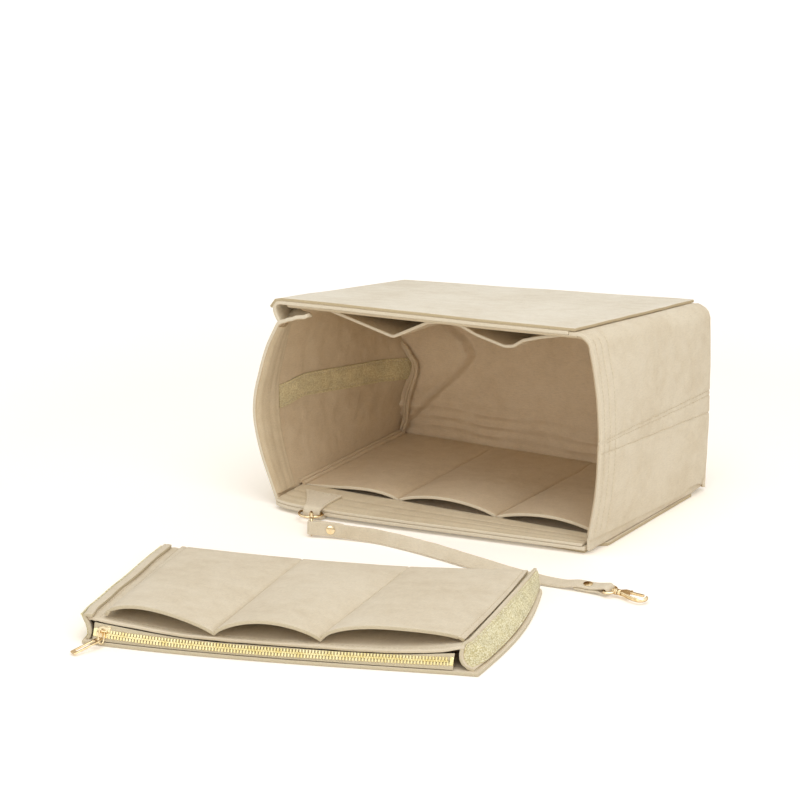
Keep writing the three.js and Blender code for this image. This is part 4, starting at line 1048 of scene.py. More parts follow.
def lowPocketPlace(u, v):
    stand, arch = lowPocketStand(u, v)
    y = mix(-halfDepth + lowPockets["front"] - lowPockets["bulge"] * arch, backInner - seamGap - 0.6, v)
    x = mix(lowLeft(y) + wallFelt + 1.6, lowRight(y) - wallFelt - 1.6, u)
    pucker = 0.5 * ripple(x, y, 0, 22, 3.3) * sine(v)
    return Vector((x, y, lowLining + liningFelt / 2 + stand + abs(pucker) * (0.4 + arch)))


feltSheet(
    "low_slip_pockets_felt", lowPocketPlace, (lowPockets["width"], 171), liningFelt, "case",
    [insideFeltPaintedShade, cutEdge], ("front_inner_pockets",),
    across=[lowPockets["width"] * third / 3 for third in (1, 2)], pinch=0.5, spacing=2.8,
)

# Inner pockets under the top wall: two panels that hang in a V
topPockets = {
    "front": 32.0,
    "sag": 19.8,
    "left": [(0, 0.1), (0.19, 0.2), (0.64, 1), (0.88, 0.25), (1, 0.15)],
    "right": [
        (0, 0.15), (0.1, 0.22), (0.22, 0.54), (0.42, 0.88), (0.48, 0.82),
        (0.54, 0.56), (0.66, 0.35), (0.8, 0.18), (1, 0),
    ],
    "division": 0.51,
    "width": 262,
}


def topPocketsPlace(u, v):
    division = topPockets["division"]
    if u < division:
        sag = linked(topPockets["left"], u / division)
    else:
        sag = linked(topPockets["right"], (u - division) / (1 - division))
    y = mix(-halfDepth + topPockets["front"], backInner - seamGap - 0.6, v)
    left = endWallX(-1, y, 0.96) + wallFelt + 3.5
    right = mix(125.0, halfLength, depthShare(y)) - 8
    x = mix(left, right, u)
    hang = topPockets["sag"] * sag * (1 - v) ** 0.7
    soft = abs(ripple(x, y, 0, 26, 4.9)) * sine(v)
    return Vector((x, y, topOuter(x, y) - wallFelt - seamGap - liningFelt / 2 - hang - soft - 0.3))


feltSheet(
    "top_slip_pockets_felt", topPocketsPlace, (topPockets["width"], 171), liningFelt, "case",
    [insideFeltPaintedShade, cutEdge], ("back_inner_pockets",),
    across=[topPockets["division"] * topPockets["width"]], pinch=0.5, spacing=2.8,
)


# Facings inside the mouth: they lie pressed flat at its edge
facingForm = {"upper": 31.0, "left": 20.0, "right": 31.0, "pressed": 4.0}


def facingLift(distance):  # how far its middle stands off the wall
    return mix(0.2, 1.0, ease(distance, 0, facingForm["pressed"])) * liningFelt / 2


def facingHem(depth, upward=False):
    return lambda u, v: facingLift((v if upward else u) * depth) / (liningFelt / 2)


def topFacingPlace(u, v):
    y = mix(-halfDepth + 0.5, -halfDepth + facingForm["upper"], v)
    left = endWallX(-1, y, 0.97) + wallFelt + 3.2
    corner = caseForm["rightCorner"]
    right = endWallX(1, y, (endHeight(1, y) - corner) / endHeight(1, y)) - corner - 0.15
    x = mix(left, right, u)
    lift = facingLift(v * facingForm["upper"])
    return Vector((x, y + (mouthY(x) + halfDepth) * (1 - v), topOuter(x, y) - wallFelt - 0.1 - lift))


feltSheet(
    "top_facing_felt", topFacingPlace, (255, facingForm["upper"]), liningFelt, "case",
    [facingFeltPaintedShade, cutEdge], ("back_rim_facing",), along=facingRows["upper"], pinch=0.7,
    hem=facingHem(facingForm["upper"], upward=True),
)


def leftFacingPlace(u, v):
    y = mix(mouthY(-150) + 0.5, -halfDepth + facingForm["left"], u)
    height = endHeight(-1, y)
    z = mix(lowLining + liningFelt + 0.8, leftWallTop(y) - 5, v)
    x = endWallX(-1, y, z / height) + wallFelt + 0.05 + facingLift(u * facingForm["left"])
    return Vector((x + leftTuck(z, height), y, z))


def rightFacingPlace(u, v):
    y = mix(mouthY(126) + 0.5, -halfDepth + facingForm["right"], u)
    lift = facingLift(u * facingForm["right"])
    return rightSection(y, mix(0.02, 0.998, v), wallFelt + 0.05 + lift, firm=False)


for name, place, length, pinch in (
    ("left", leftFacingPlace, 165, 0.72),
    ("right", rightFacingPlace, 168, 0.7),
):
    feltSheet(
        name + "_facing_felt", place, (facingForm[name], length), liningFelt, "case",
        [sideFacingFeltPaintedShade, sideFacingFeltPaintedShade], (name + "_rim_facing",),
        across=facingRows[name], pinch=pinch, spacing=2.6, hem=facingHem(facingForm[name]),
    )
print("linings made")

# Loop tapes inside the end walls
sides = ((-1, "left"), (1, "right"))
loopForm = {
    "length": 160,
    "width": 20.0,
    "thickness": 1.2,
    "start": {-1: 22, 1: 33},  # from the mouth
    "heights": {-1: (84, 69), 1: (86, 78)},  # at its front and its back
    "rise": {-1: 6.5, 1: 0.0},
    "seam": 2.5,
}


def loopPlace(side):
    front, back = loopForm["heights"][side]

    def place(u, v):
        y = mix(-halfDepth + loopForm["start"][side], backInner - 10, u)
        rise = loopForm["rise"][side] * ease(u, 0, 0.22) * (1 - 0.6 * u)
        z = mix(front, back, u) + rise + mix(-1, 1, v) * loopForm["width"] / 2
        inward = wallFelt + 0.3 + loopForm["thickness"] / 2
        return Vector((endWallX(side, y, z / endHeight(side, y)) - side * inward, y, z))
    return place


def bothSeams(length, seam):
    return [seam, length - seam]


loopRows = bothSeams(loopForm["width"], loopForm["seam"])
for side, name in sides:
    feltSheet(
        name + "_loop_pile", loopPlace(side), (loopForm["length"], loopForm["width"]), loopForm["thickness"],
        "case", [loopPile, loopPile], (name + "_loop_tape",),
        across=bothSeams(loopForm["length"], loopForm["seam"]), along=loopRows,
        pinch=0.45, edge=0.3, spacing=3.0, half=0.9,
    )

whole = (0.01, 0.99)  # a row that stops just short of a sheet's ends
sewn("case_stitches", "case", [
    *levelRows(lowFacingPlace, facingRows["lower"], lowFacingSize[1], whole, 262, 0.8),
    *levelRows(topFacingPlace, facingRows["upper"], facingForm["upper"], whole, 250, -0.8),
    *upwardRows(leftFacingPlace, facingRows["left"], facingForm["left"], whole, 172, -1.0),
    *upwardRows(rightFacingPlace, facingRows["right"], facingForm["right"], whole, 172, 0.8),
])
sewn("outer_wall_stitches", "case", [
    *upwardRows(rightWallPlace, endRows, rightSize[0], (0.02, 0.9), 170, 1.0),
    *levelRows(rightWallPlace, rightSeams, rightSize[1], (0.05, 0.995), 196, 1.0),
    *upwardRows(leftWallPlace, endRows, leftSize[0], (0.02, 0.95), 160, -1.0),
])
sewn("loop_tape_stitches", "case", [
    row
    for side, _ in sides
    for row in levelRows(loopPlace(side), loopRows, loopForm["width"], (0.015, 0.985), 155, -0.42 * side)
])
print("stitches sewn")

# Welts: two rolled edges up the left corner of the base, and two along the foot of the left wall
weltForm = {
    "line": [  # along x, height
        (-137, 97), (-133, 92), (-128, 85), (-123.5, 79), (-123, 72), (-126, 62),
        (-131, 49), (-135, 36), (-137.5, 24), (-140, 16), (-142, 11),
    ],
    "radius": 1.6,
    "foot": 1.7,
    "steps": 60,
    "footSteps": 90,
    "footKnots": 25,
}


def makeWelt():
    form = weltForm
    bm = bmesh.new()
    last = form["steps"] - 1
    for shift, forward in ((0.0, 0.0), (3.4, -1.2)):
        points = []
        for x, z in form["line"]:
            y = basePlace((x + halfLength) / (2 * halfLength), clamp((z - 3) / baseSize[1])).y
            points.append((x + shift + 2, min(y, 97) - 4.5 + forward, z))
        taper = [0.35 + 0.65 * clamp(min(i, last - i) / 4) for i in range(last + 1)]
        tube(bm, smoothPath(points, last + 1), [form["radius"] * share for share in taper], sides=4)
    for shift, rise in ((0.0, 0.4), (3.3, -0.7)):
        line = []
        for i in range(form["footKnots"]):
            y = mix(-halfDepth + 29, backInner - 5, i / (form["footKnots"] - 1))
            z = lowLining + liningFelt + form["foot"] + rise + 0.4 * ripple(y, 0, 0, 17, 1.3)
            x = endWallX(-1, y, z / endHeight(-1, y)) + wallFelt + form["foot"] + shift
            line.append((x, y, z))
        tube(bm, smoothPath(line, form["footSteps"]), [form["foot"]] * form["footSteps"], sides=4)
    return finishPiece("base_corner_welt", bm, "case", [insideFeltPaintedShade], ())


makeWelt()
print("welt made")

# Pouch, in its own frame: x along the zip, -y towards the zip, z up from the table
pouchForm = {
    "place": (12.0, -320.0, 0.0),
    "turn": 16.4,
    "leftDepth": 197.0,
    "rightDepth": 185.0,
    # Reach of each end at the zip and at the back, and its bow
    "ends": {-1: (141.0, 145.0, 0.0), 1: (148.0, 161.0, 8.5)},
    # Each gusset's inset, lean at the zip and at the back, and height at the zip and at the back
    "gussets": {-1: (2.0, -4.5, 2.4, 21.5, 10.5), 1: (3.0, 8.5, 1.5, 20.0, 18.0)},
    "topFront": 7.2,
    # Underside of the upper panel at the zip, dipping at each division, and at the back: left, right, sag
    "front": [
        (0, 16.4), (0.1, 14.6), (0.3, 10.4), (0.48, 11.2), (0.65, 10.4), (0.8, 10.2), (0.9, 11.2), (1, 15.6),
    ],
    "back": (5.2, 11.4, 3.4),
    "corner": 10.0,
    "zipBow": 5.5,  # the soft zip edge bends forward and droops between its ends
    "zipDroop": 1.2,
    "pockets": {"left": 13.5, "right": 4.0, "back": 5.0, "arch": 9.5},
    "mouth": [(0, 10.5), (0.32, 7.0), (0.615, 11.0), (1, 19)],
    "divisions": (0.32, 0.615),
}
pouchTurn = Matrix.Rotation(math.radians(pouchForm["turn"]), 4, "Z")
pouchMatrix = Matrix.Translation(pouchForm["place"]) @ pouchTurn
pouchFront = -pouchForm["rightDepth"] / 2
pouchLow = liningFelt + seamGap
zipSides = (-133.0, 130.0)


def pouchBack(across):
    return pouchFront + mix(pouchForm["leftDepth"], pouchForm["rightDepth"], across)


def pouchShare(y, across):
    return (y - pouchFront) / (pouchBack(across) - pouchFront)


def pouchEndBow(side, share):
    return pouchForm["ends"][side][2] * sine(share)


def pouchReach(side, share):
    front, back, _ = pouchForm["ends"][side]
    return mix(front, back, share) + pouchEndBow(side, share)


def gussetHeight(side, share):
    return mix(*pouchForm["gussets"][side][3:], share)


def gussetX(side, share, z):
    inset, frontLean, backLean, _, _ = pouchForm["gussets"][side]
    rise = (z - pouchLow) / (gussetHeight(side, share) - pouchLow)
    lean = mix(frontLean, backLean, share) + pouchEndBow(side, share)
    return side * (pouchReach(side, share) - inset - lean * rise)


def zipSoft(x):  # how much the zip edge has given way, none at its ends
    return sine(clamp((x - zipSides[0]) / (zipSides[1] - zipSides[0])) ** 0.75)


def pouchPoint(x, y, z, share, droop=True):
    soft = zipSoft(x) * (1 - clamp(share)) ** 2
    y -= pouchForm["zipBow"] * soft
    z -= pouchForm["zipDroop"] * soft if droop else 0
    return pouchMatrix @ Vector((x, y, z))


def pouchUnderside(across, share):
    front = curved(pouchForm["front"], across, 0.09)
    left, right, sag = pouchForm["back"]
    back = mix(left, right, across ** 2) - sag * sine(across) ** 0.8
    return mix(front, max(back, pouchLow + 0.4), share)


def pouchTopSide(side, share):
    low = pouchUnderside((side + 1) / 2, share)
    faces = [side * gussetX(side, share, z) for z in (low, low + liningFelt)]
    return side * (min(faces) - liningFelt - seamGap)


def pouchLowPlace(u, v):
    y = mix(pouchFront, pouchBack(u), v)
    cut = rounded(pouchBack(u) - y, pouchForm["corner"])
    x = mix(-pouchReach(-1, v) + cut * 0.3, pouchReach(1, v) - cut, u)
    return pouchPoint(x, y, liningFelt / 2, v, droop=False)


def pouchTopPlace(u, v):
    y = mix(pouchFront + pouchForm["topFront"], pouchBack(u), v)
    share = pouchShare(y, u)
    x = mix(pouchTopSide(-1, share), pouchTopSide(1, share), u)
    soft = 0.6 * ripple(x, y, 0, 40, 5.9) * sine(v) + 0.3 * ripple(x, y, 0, 15, 1.9) * (1 - v) ** 2
    lift = 2.2 * ease(u, 0.94, 1) * (1 - ease(v, 0, 0.12))
    return pouchPoint(x, y, pouchUnderside(u, share) + liningFelt / 2 + soft + lift, share)


def pouchPocketPlace(u, v):
    form = pouchForm["pockets"]
    first, second = pouchForm["divisions"]
    edges = (0, mix(first, first + 0.035, v), mix(second, second + 0.05, v), 1)
    number = 0 if u < first else 1 if u < second else 2
    flat = (0, first, second, 1)
    within = (u - flat[number]) / (flat[number + 1] - flat[number])
    across = mix(edges[number], edges[number + 1], within)
    front = pouchFront + 1 + linked(pouchForm["mouth"], u)
    arch = sine(within ** (0.8, 0.95, 0.72)[number]) ** 0.72
    y = mix(front - 1.5 * arch, pouchBack(across) - form["back"], v)
    share = pouchShare(y, across)
    left, right = pouchTopSide(-1, share) + form["left"], pouchTopSide(1, share) - form["right"]
    x = mix(left, right, across)
    wide = (x - pouchTopSide(-1, share)) / (pouchTopSide(1, share) - pouchTopSide(-1, share))
    billow = 2.6 * sine(within ** 0.75) ** 0.55 * (1 - v) ** 0.25
    stand = form["arch"] * arch * (1 - v) ** 0.9 + billow
    soft = 0.4 * abs(ripple(x, y, 3, 34, 2.7)) * sine(v)
    z = pouchUnderside(wide, share) + 1.5 * liningFelt + 2 * seamGap + stand + soft
    return pouchPoint(x, y, z, share)


def pouchGussetPlace(side, margin=0.0, outward=0.0, fold=0.0):
    bend = 1.6 if fold else 0.0  # the left gusset's top is folded in over the panel

    def place(u, v):
        across = (side + 1) / 2
        inset = 5 if margin else 3
        y = mix(pouchFront + inset, pouchBack(across) - inset, u)
        share = pouchShare(y, across)
        top = gussetHeight(side, share) - margin - (bend + liningFelt / 2 if fold else 0)
        along = v * (top - pouchLow - margin + bend * math.pi / 2 + fold)
        z = min(pouchLow + margin + along, top)
        over = along - (top - pouchLow - margin)
        rise = (z - pouchLow) / (gussetHeight(side, share) - pouchLow)
        near = 1 - ease(y - pouchFront, 3, 26)
        x = gussetX(side, share, z) + side * (outward - liningFelt / 2)
        x -= side * (6.0 if side > 0 else 3.2) * near * sine(rise ** 0.7)
        swell = side * (1.8 if side < 0 else 0.8) * sine(clamp(rise ** 1.5)) * (1 - near)
        x += swell * (0.6 + ripple(y, side, z, 40, 3.9))
        y += 7 * near * rise ** 2 if side > 0 else 2.5 * near * rise
        if fold and over > 0:
            turn = min(over / bend, math.pi / 2)
            flat = max(0.0, over - bend * math.pi / 2)
            x -= side * (bend * (1 - math.cos(turn)) + flat)
            z += bend * math.sin(turn) - 0.06 * flat
        return pouchMatrix @ Vector((x, y, z))
    return place


def pouchBottomPlace(u, v):
    y = pouchBack(u) - 2
    share = pouchShare(y, u)
    low = [gussetX(side, share, pouchLow) - side * (liningFelt + seamGap) for side in (-1, 1)]
    z = mix(pouchLow, pouchUnderside(u, share) - seamGap, v)
    return pouchPoint(mix(low[0], low[1], u), y - sine(v) * 0.8, z, share)


pouchSize = {"low": (300, 190), "top": (282, 183), "pockets": (264, 170)}
lowEnds = bothSeams(pouchSize["low"][0], 3.5)
pocketEnds = bothSeams(pouchSize["pockets"][0], 3.5)
pocketSeams = [share * pouchSize["pockets"][0] for share in pouchForm["divisions"]]
topEnds, topFront = [4, 9], [5]
gussetFold = {-1: 4.6, 1: 0.0}
hookForm = {"margin": 1.2, "outward": liningFelt / 2 + 0.7, "thickness": 1.2}
feltSheet(
    "pouch_low_panel_felt", pouchLowPlace, pouchSize["low"], liningFelt, "pouch", [felt, pouchEdgePaintedShade],
    ("pouch_back_panel",), across=lowEnds, pinch=0.7,
)
feltSheet(
    "pouch_top_panel_felt", pouchTopPlace, pouchSize["top"], liningFelt, "pouch", [felt, cutEdge],
    ("pouch_front_panel",), across=topEnds, along=topFront, pinch=0.72, spacing=2.8,
)
feltSheet(
    "pouch_slip_pockets_felt", pouchPocketPlace, pouchSize["pockets"], liningFelt, "pouch",
    [felt, pouchEdgePaintedShade], ("pouch_slip_pockets",), across=sorted(pocketEnds + pocketSeams), pinch=0.45,
    spacing=2.6,
)
for side, name in sides:
    fold = gussetFold[side]
    feltSheet(
        "pouch_" + name + "_gusset_felt", pouchGussetPlace(side, fold=fold), (188, 18 + fold), liningFelt,
        "pouch", [felt, pouchEdgePaintedShade], ("pouch_" + name + "_gusset",), along=[3, 15.5], pinch=0.75,
        spacing=2.6,
    )
    feltSheet(
        "pouch_" + name + "_hook_pile", pouchGussetPlace(side, hookForm["margin"], hookForm["outward"]),
        (180, 20), hookForm["thickness"],
        "pouch", [hookPile, hookPile], ("pouch_" + name + "_hook_tape",),
        along=[1.8, 18.2], pinch=0.5, edge=0.3, spacing=2.6, half=0.8,
    )
feltSheet(
    "pouch_bottom_gusset_felt", pouchBottomPlace, (290, 3), liningFelt, "pouch", [felt, cutEdge],
    ("pouch_bottom_gusset",),
)
sewn("pouch_stitches", "pouch", [
    *upwardRows(pouchTopPlace, topEnds, pouchSize["top"][0], (0.02, 0.99), 178, 0.95),
    *levelRows(pouchTopPlace, topFront, pouchSize["top"][1], (0.05, 0.96), 255, 0.95),
    *upwardRows(pouchPocketPlace, pocketEnds, pouchSize["pockets"][0], (0.02, 0.99), 166, 0.6),
    *upwardRows(pouchPocketPlace, pocketSeams, pouchSize["pockets"][0], (0.03, 0.99), 164, 0.6),
    *upwardRows(pouchLowPlace, lowEnds, pouchSize["low"][0], (0.02, 0.95), 176, 0.95),
])
hookPlaces = {side: pouchGussetPlace(side, hookForm["margin"], hookForm["outward"]) for side, _ in sides}
sewn("hook_tape_stitches", "pouch", [
    (hookPlaces[side], (0.01, row), (0.99, row), 176, side * 0.3)
    for side, _ in sides
    for row in (0.09, 0.91)
])
print("pouch made")

# Zip: x along the pouch, y up the slope of the strip, z out of it
zipForm = {
    "lowY": 0.8,
    "lowZ": 3.2,
    "run": 5.8,
    "rise": 10.0,
    "tape": 0.8,
    "chain": 6.0,
    "toothPitch": 2.3,
    "toothThickness": 2.4,
    "stop": 3.0,
}
zipSlope = math.hypot(zipForm["run"], zipForm["rise"])
zipTilt = math.atan2(zipForm["rise"], zipForm["run"])
zipMiddle = zipSlope / 2
zipMatrix = (
    pouchMatrix
    @ Matrix.Translation((0, pouchFront + zipForm["lowY"], zipForm["lowZ"]))
    @ Matrix.Rotation(zipTilt, 4, "X")
)


def zipPoint(x, slope, out):
    soft = zipSoft(x)
    free = clamp(slope / 2.8)
    place = Vector((
        x,
        pouchFront + zipForm["lowY"] + slope * math.cos(zipTilt) - out * math.sin(zipTilt),
        zipForm["lowZ"] + slope * math.sin(zipTilt) + out * math.cos(zipTilt),
    ))
    place.y -= soft * (pouchForm["zipBow"] + 1.4 * sine(slope / zipSlope))
    place.z -= soft * pouchForm["zipDroop"] * free
    return pouchMatrix @ place


# The upper tape is sewn under the front edge of the upper panel, so it rises and falls with it
def zipTapePlace(low, high, under):
    def place(u, v):
        x = mix(*zipSides, u)
        point = zipPoint(x, mix(low, high, v), 0.25 * sine(v))
        if under:
            across = (x - pouchTopSide(-1, 0)) / (pouchTopSide(1, 0) - pouchTopSide(-1, 0))
            edge = pouchUnderside(across, 0.04) - pouchForm["zipDroop"] * zipSoft(x) - 0.7
            point.z += v * (edge - zipPoint(x, high, 0).z)
        return point
    return place


for name, low, high, under in (
    ("lower", 0.0, zipMiddle - 0.7, False),
    ("upper", zipMiddle + 0.7, zipSlope + 1.2, True),
):
    feltSheet(
        "zip_" + name + "_weave", zipTapePlace(low, high, under), (263, 5), zipForm["tape"], "pouch",
        [zipWeave, zipWeave], ("zip_" + name + "_tape",), edge=0.2, spacing=2.4,
    )


# A plate cut to an outline, with holes, its edges rounded: lengths along x and y, thickness along z
def plateMesh(outlines, thickness, edge, steps=2):
    curve = bpy.data.curves.new("plate", "CURVE")
    curve.dimensions = "2D"
    curve.fill_mode = "BOTH"
    curve.bevel_depth = edge
    curve.bevel_resolution = steps
    curve.offset = -edge
    curve.extrude = thickness / 2 - edge
    for outline in outlines:
        spline = curve.splines.new("POLY")
        spline.points.add(len(outline) - 1)
        for knot, (x, y) in zip(spline.points, outline):
            knot.co = (x, y, 0, 1)
        spline.use_cyclic_u = True
    holder = bpy.data.objects.new("plate", curve)
    mesh = bpy.data.meshes.new_from_object(holder)
    bpy.data.objects.remove(holder)
    bpy.data.curves.remove(curve)
    return mesh


def addPlate(bm, outlines, thickness, edge, matrix):
    mesh = plateMesh(outlines, thickness, edge)
    mesh.transform(matrix)
    bm.from_mesh(mesh)
    bpy.data.meshes.remove(mesh)


def arc(centre, radius, start, end, count):
    angles = [math.radians(mix(start, end, i / (count - 1))) for i in range(count)]
    return [(centre[0] + radius * math.cos(a), centre[1] + radius * math.sin(a)) for a in angles]


# Turned metal: a profile of (along, radius) points swept round the x axis
def addTurned(bm, profile, matrix, steps=24):
    turned = bmesh.new()
    knots = [turned.verts.new((along, radius, 0)) for along, radius in profile]
    for first, second in zip(knots, knots[1:]):
        turned.edges.new((first, second))
    bmesh.ops.spin(
        turned, geom=turned.verts[:] + turned.edges[:], axis=(1, 0, 0), cent=(0, 0, 0),
        steps=steps, angle=2 * math.pi, use_merge=True,
    )
    bmesh.ops.remove_doubles(turned, verts=turned.verts, dist=0.001)
    bmesh.ops.recalc_face_normals(turned, faces=turned.faces)
    bmesh.ops.transform(turned, matrix=matrix, verts=turned.verts)
    mesh = bpy.data.meshes.new("turned")
    turned.to_mesh(mesh)
    turned.free()
    bm.from_mesh(mesh)
    bpy.data.meshes.remove(mesh)


# Teeth: two rows that interlock at the middle of the strip
def makeTeeth():
    start, end = zipSides[0] + zipForm["stop"] + 0.6, zipSides[1] - zipForm["stop"] - 0.6
    pitch = zipForm["toothPitch"]
    half = zipForm["chain"] / 2
    outline = [
        (-0.72, -half), (0.72, -half), (0.72, -0.9), (0.42, -0.55), (0.62, 0.1), (0.4, 0.75),
        (-0.4, 0.75), (-0.62, 0.1), (-0.42, -0.55), (-0.72, -0.9),
    ]
    tooth = plateMesh([outline], zipForm["toothThickness"], 0.22, 0)
    bm = bmesh.new()
    count = int((end - start) / pitch * 2)
    for i in range(count + 1):
        x = start + i * pitch / 2
        low, high = zipPoint(x, zipMiddle - half, 0), zipPoint(x, zipMiddle + half, 0)
        along = (zipPoint(x + 0.5, zipMiddle, 0) - zipPoint(x - 0.5, zipMiddle, 0)).normalized()
        up = (high - low).normalized()
        out = along.cross(up).normalized()
        if i % 2:
            along, up = -along, -up
        copy = tooth.copy()
        turn = Matrix((along, up, out)).transposed().to_4x4()
        copy.transform(Matrix.Translation(zipPoint(x, zipMiddle, 0)) @ turn)
        bm.from_mesh(copy)
        bpy.data.meshes.remove(copy)
    return finishPiece("zip_teeth_gold", bm, "pouch", [toothGold], ("zip_teeth",), hard=True)


makeTeeth()


def makeStop(side, name):
    bm = bmesh.new()
    half = zipForm["chain"] / 2
    wide = zipForm["stop"] / 2
    x = zipSides[0] + wide if side < 0 else zipSides[1] - wide
    outline = [(-wide, -half), (wide, -half), (wide, half), (-wide, half)]
    spot = zipMatrix @ Matrix.Translation((x, zipMiddle, 0))
    addPlate(bm, [outline], zipForm["toothThickness"], 0.6, spot)
    finishPiece(name + "_gold", bm, "pouch", [toothGold], (name,), hard=True)


makeStop(-1, "zip_left_stop")
makeStop(1, "zip_right_stop")

# Slider: a waisted shield over the teeth, a flange at each side and a bridge for the link
sliderForm = {
    "length": 10.0, "plate": 1.1, "low": 1.55, "reach": 4.35, "flange": 1.0, "flangeLow": 0.7,
    "bridge": 2.6, "wire": 0.6, "span": 7.0,
}


def makeSlider():
    form = sliderForm
    bm = bmesh.new()
    centre = zipSides[0] + zipForm["stop"] + form["length"] / 2
    spot = zipMatrix @ Matrix.Translation((centre, zipMiddle, 0))
    half, reach, flange = form["length"] / 2, form["reach"], form["flange"] / 2
    edge = [(-half, reach * 0.5), (-half * 0.7, reach * 0.78), (-half * 0.2, reach * 0.95)]
    edge += [(half * 0.3, reach), (half, reach)]
    outline = [(x, -y) for x, y in edge] + [(x, y) for x, y in reversed(edge)]
    foot = form["low"] + form["plate"] / 2
    addPlate(bm, [outline], form["plate"], 0.35, spot @ Matrix.Translation((0, 0, foot)))
    depth = form["low"] + form["plate"] - form["flangeLow"]
    wall = [(0, -flange), (half, -flange), (half, flange), (0, flange)]
    for side in (-1, 1):
        middle = (0, side * (reach - flange), form["flangeLow"] + depth / 2)
        addPlate(bm, [wall], depth, 0.25, spot @ Matrix.Translation(middle))
    top = form["low"] + form["plate"] + form["bridge"]
    span = form["span"] / 2
    bridge = [(-span, 0, foot), (-span, 0, top - 0.9), (-span + 1, 0, top)]
    bridge += [(span - 1, 0, top), (span, 0, top - 0.9), (span, 0, foot)]
    tube(bm, smoothPath(bridge, 28), [form["wire"]] * 28, sides=3, matrix=spot)
    finishPiece("zip_slider_gold", bm, "zip_slider", [gold], ("zip_slider",), hard=True)


makeSlider()


def axesMatrix(origin, x, y, z):
    turn = Matrix((x, y, z)).transposed().to_4x4()
    return Matrix.Translation(origin) @ turn


linkMatrix = axesMatrix(
    (-81.5601, -444.8364, 10.83402),
    (0.90173, -0.27284, 0.33531), (0.40402, 0.80782, -0.42918), (-0.15377, 0.52248, 0.83867),
)
tabMatrix = axesMatrix(
    (-81.3686, -449.84816, 6.24102),
    (0.92978, -0.36812, 0.0), (0.36008, 0.90946, 0.20791), (-0.07654, -0.19331, 0.97815),
)
pullForm = {
    "linkWire": 0.55, "linkHalf": 2.0, "linkLength": 10.2,
    "tabHalf": 3.2, "tabThickness": 1.1, "tabLength": 25.0,
}


def makeLink():
    form = pullForm
    top = sliderForm["wire"] + form["linkWire"] + seamGap
    low, half, corner = top - form["linkLength"], form["linkHalf"], form["linkHalf"] * 0.5
    loop = [(-half + corner, top), (half - corner, top), (half, top - corner), (half, low + corner)]
    loop += [(half - corner, low), (-half + corner, low), (-half, low + corner), (-half, top - corner)]
    path = smoothPath([(0, y, z) for y, z in loop], 56, closed=True)
    bm = bmesh.new()
    tube(bm, path, [form["linkWire"]] * 56, closed=True, sides=3, matrix=linkMatrix)
    finishPiece("zip_pull_link_gold", bm, "zip_pull_link", [gold], ("zip_pull_link",))


def makeTab():
    form = pullForm
    eye, wire, half = 1.6, form["linkWire"], form["tabHalf"]
    eyeY = 2 * wire + seamGap - eye
    near = eyeY + 2.4
    far = near - form["tabLength"]
    outline = [(half * 0.55, near), (half, near - half)]
    outline += arc((half - 1.3, far + 1.3), 1.3, 0, -90, 6)
    outline += arc((1.3 - half, far + 1.3), 1.3, -90, -180, 6)
    outline += [(-half, near - half), (-half * 0.55, near)]
    hole = arc((0, eyeY), eye, 0, 345, 20)
    slotNear = eyeY - eye - form["tabThickness"] - 1.5
    slot = arc((0, slotNear), 1.5, 0, 180, 10) + arc((0, slotNear - 14), 1.5, 180, 360, 10)
    bm = bmesh.new()
    addPlate(bm, [outline, hole, slot], form["tabThickness"], 0.3, tabMatrix)
    finishPiece("zip_pull_tab_gold", bm, "zip_pull_tab", [gold], ("zip_pull_tab",), hard=True)


makeLink()
makeTab()
print("zip made")

# Key ring and tab: the tab's felt is folded round the bar of a D-ring and sewn over the lip
tabForm = {
    "x": -98.0,
    "felt": 2.2,
    "foldWidth": 16.0,
    "rootWidth": 34.0,
    "root": 34.0,  # from the fold to the sewn end on the lip
    "lean": 11.0,  # of the sewn end, to the left
    "under": 13.0,
    "foldReach": 5.4,
    "foldZ": 5.7,
    "lipGap": 1.4,
}
tabSize = (24, 63)
tabRows = [3, 33]
ringForm = {"wire": 1.0, "halfWidth": 10.0, "leg": 3.0, "forward": 1.5}
foldY = lipY(tabForm["x"]) - tabForm["lipGap"]


def keyTabPlace(u, v):
    form = tabForm
    radius = form["foldReach"] - form["felt"] / 2
    arcLength = math.pi * radius
    along = v * (form["root"] + arcLength + form["under"])
    leaning = form["lean"] * clamp((form["root"] - along) / form["root"])
    if along < form["root"]:
        y, z = foldY + form["root"] - along, form["foldZ"] + radius
        width = mix(form["foldWidth"], form["rootWidth"], ((form["root"] - along) / form["root"]) ** 1.3)
        z += 0.5 * ripple(u * 30, y, 0, 12, 2.2)
    elif along < form["root"] + arcLength:
        turn = (along - form["root"]) / radius
        y, z = foldY - radius * math.sin(turn), form["foldZ"] + radius * math.cos(turn)
        width = form["foldWidth"] - 1.2 * math.sin(turn)
    else:
        y, z = foldY + along - form["root"] - arcLength, form["foldZ"] - radius
        width = form["foldWidth"]
    return Vector((form["x"] + (u - 0.5) * width - leaning, y, z))


feltSheet(
    "key_tab_felt", keyTabPlace, tabSize, tabForm["felt"], "case", [felt, cutEdge], ("key_tab",),
    along=tabRows, pinch=0.7, spacing=1.8, edge=0.4, half=0.8,
)
tabStart, tabEnd = (row / tabSize[1] for row in tabRows)
sewn("key_tab_stitches", "case", [
    (keyTabPlace, (0.06, tabStart), (0.94, tabStart), 30, -0.85),
    *((keyTabPlace, (side, tabStart), (side, tabEnd), 30, -1.05) for side in (0.07, 0.93)),
])


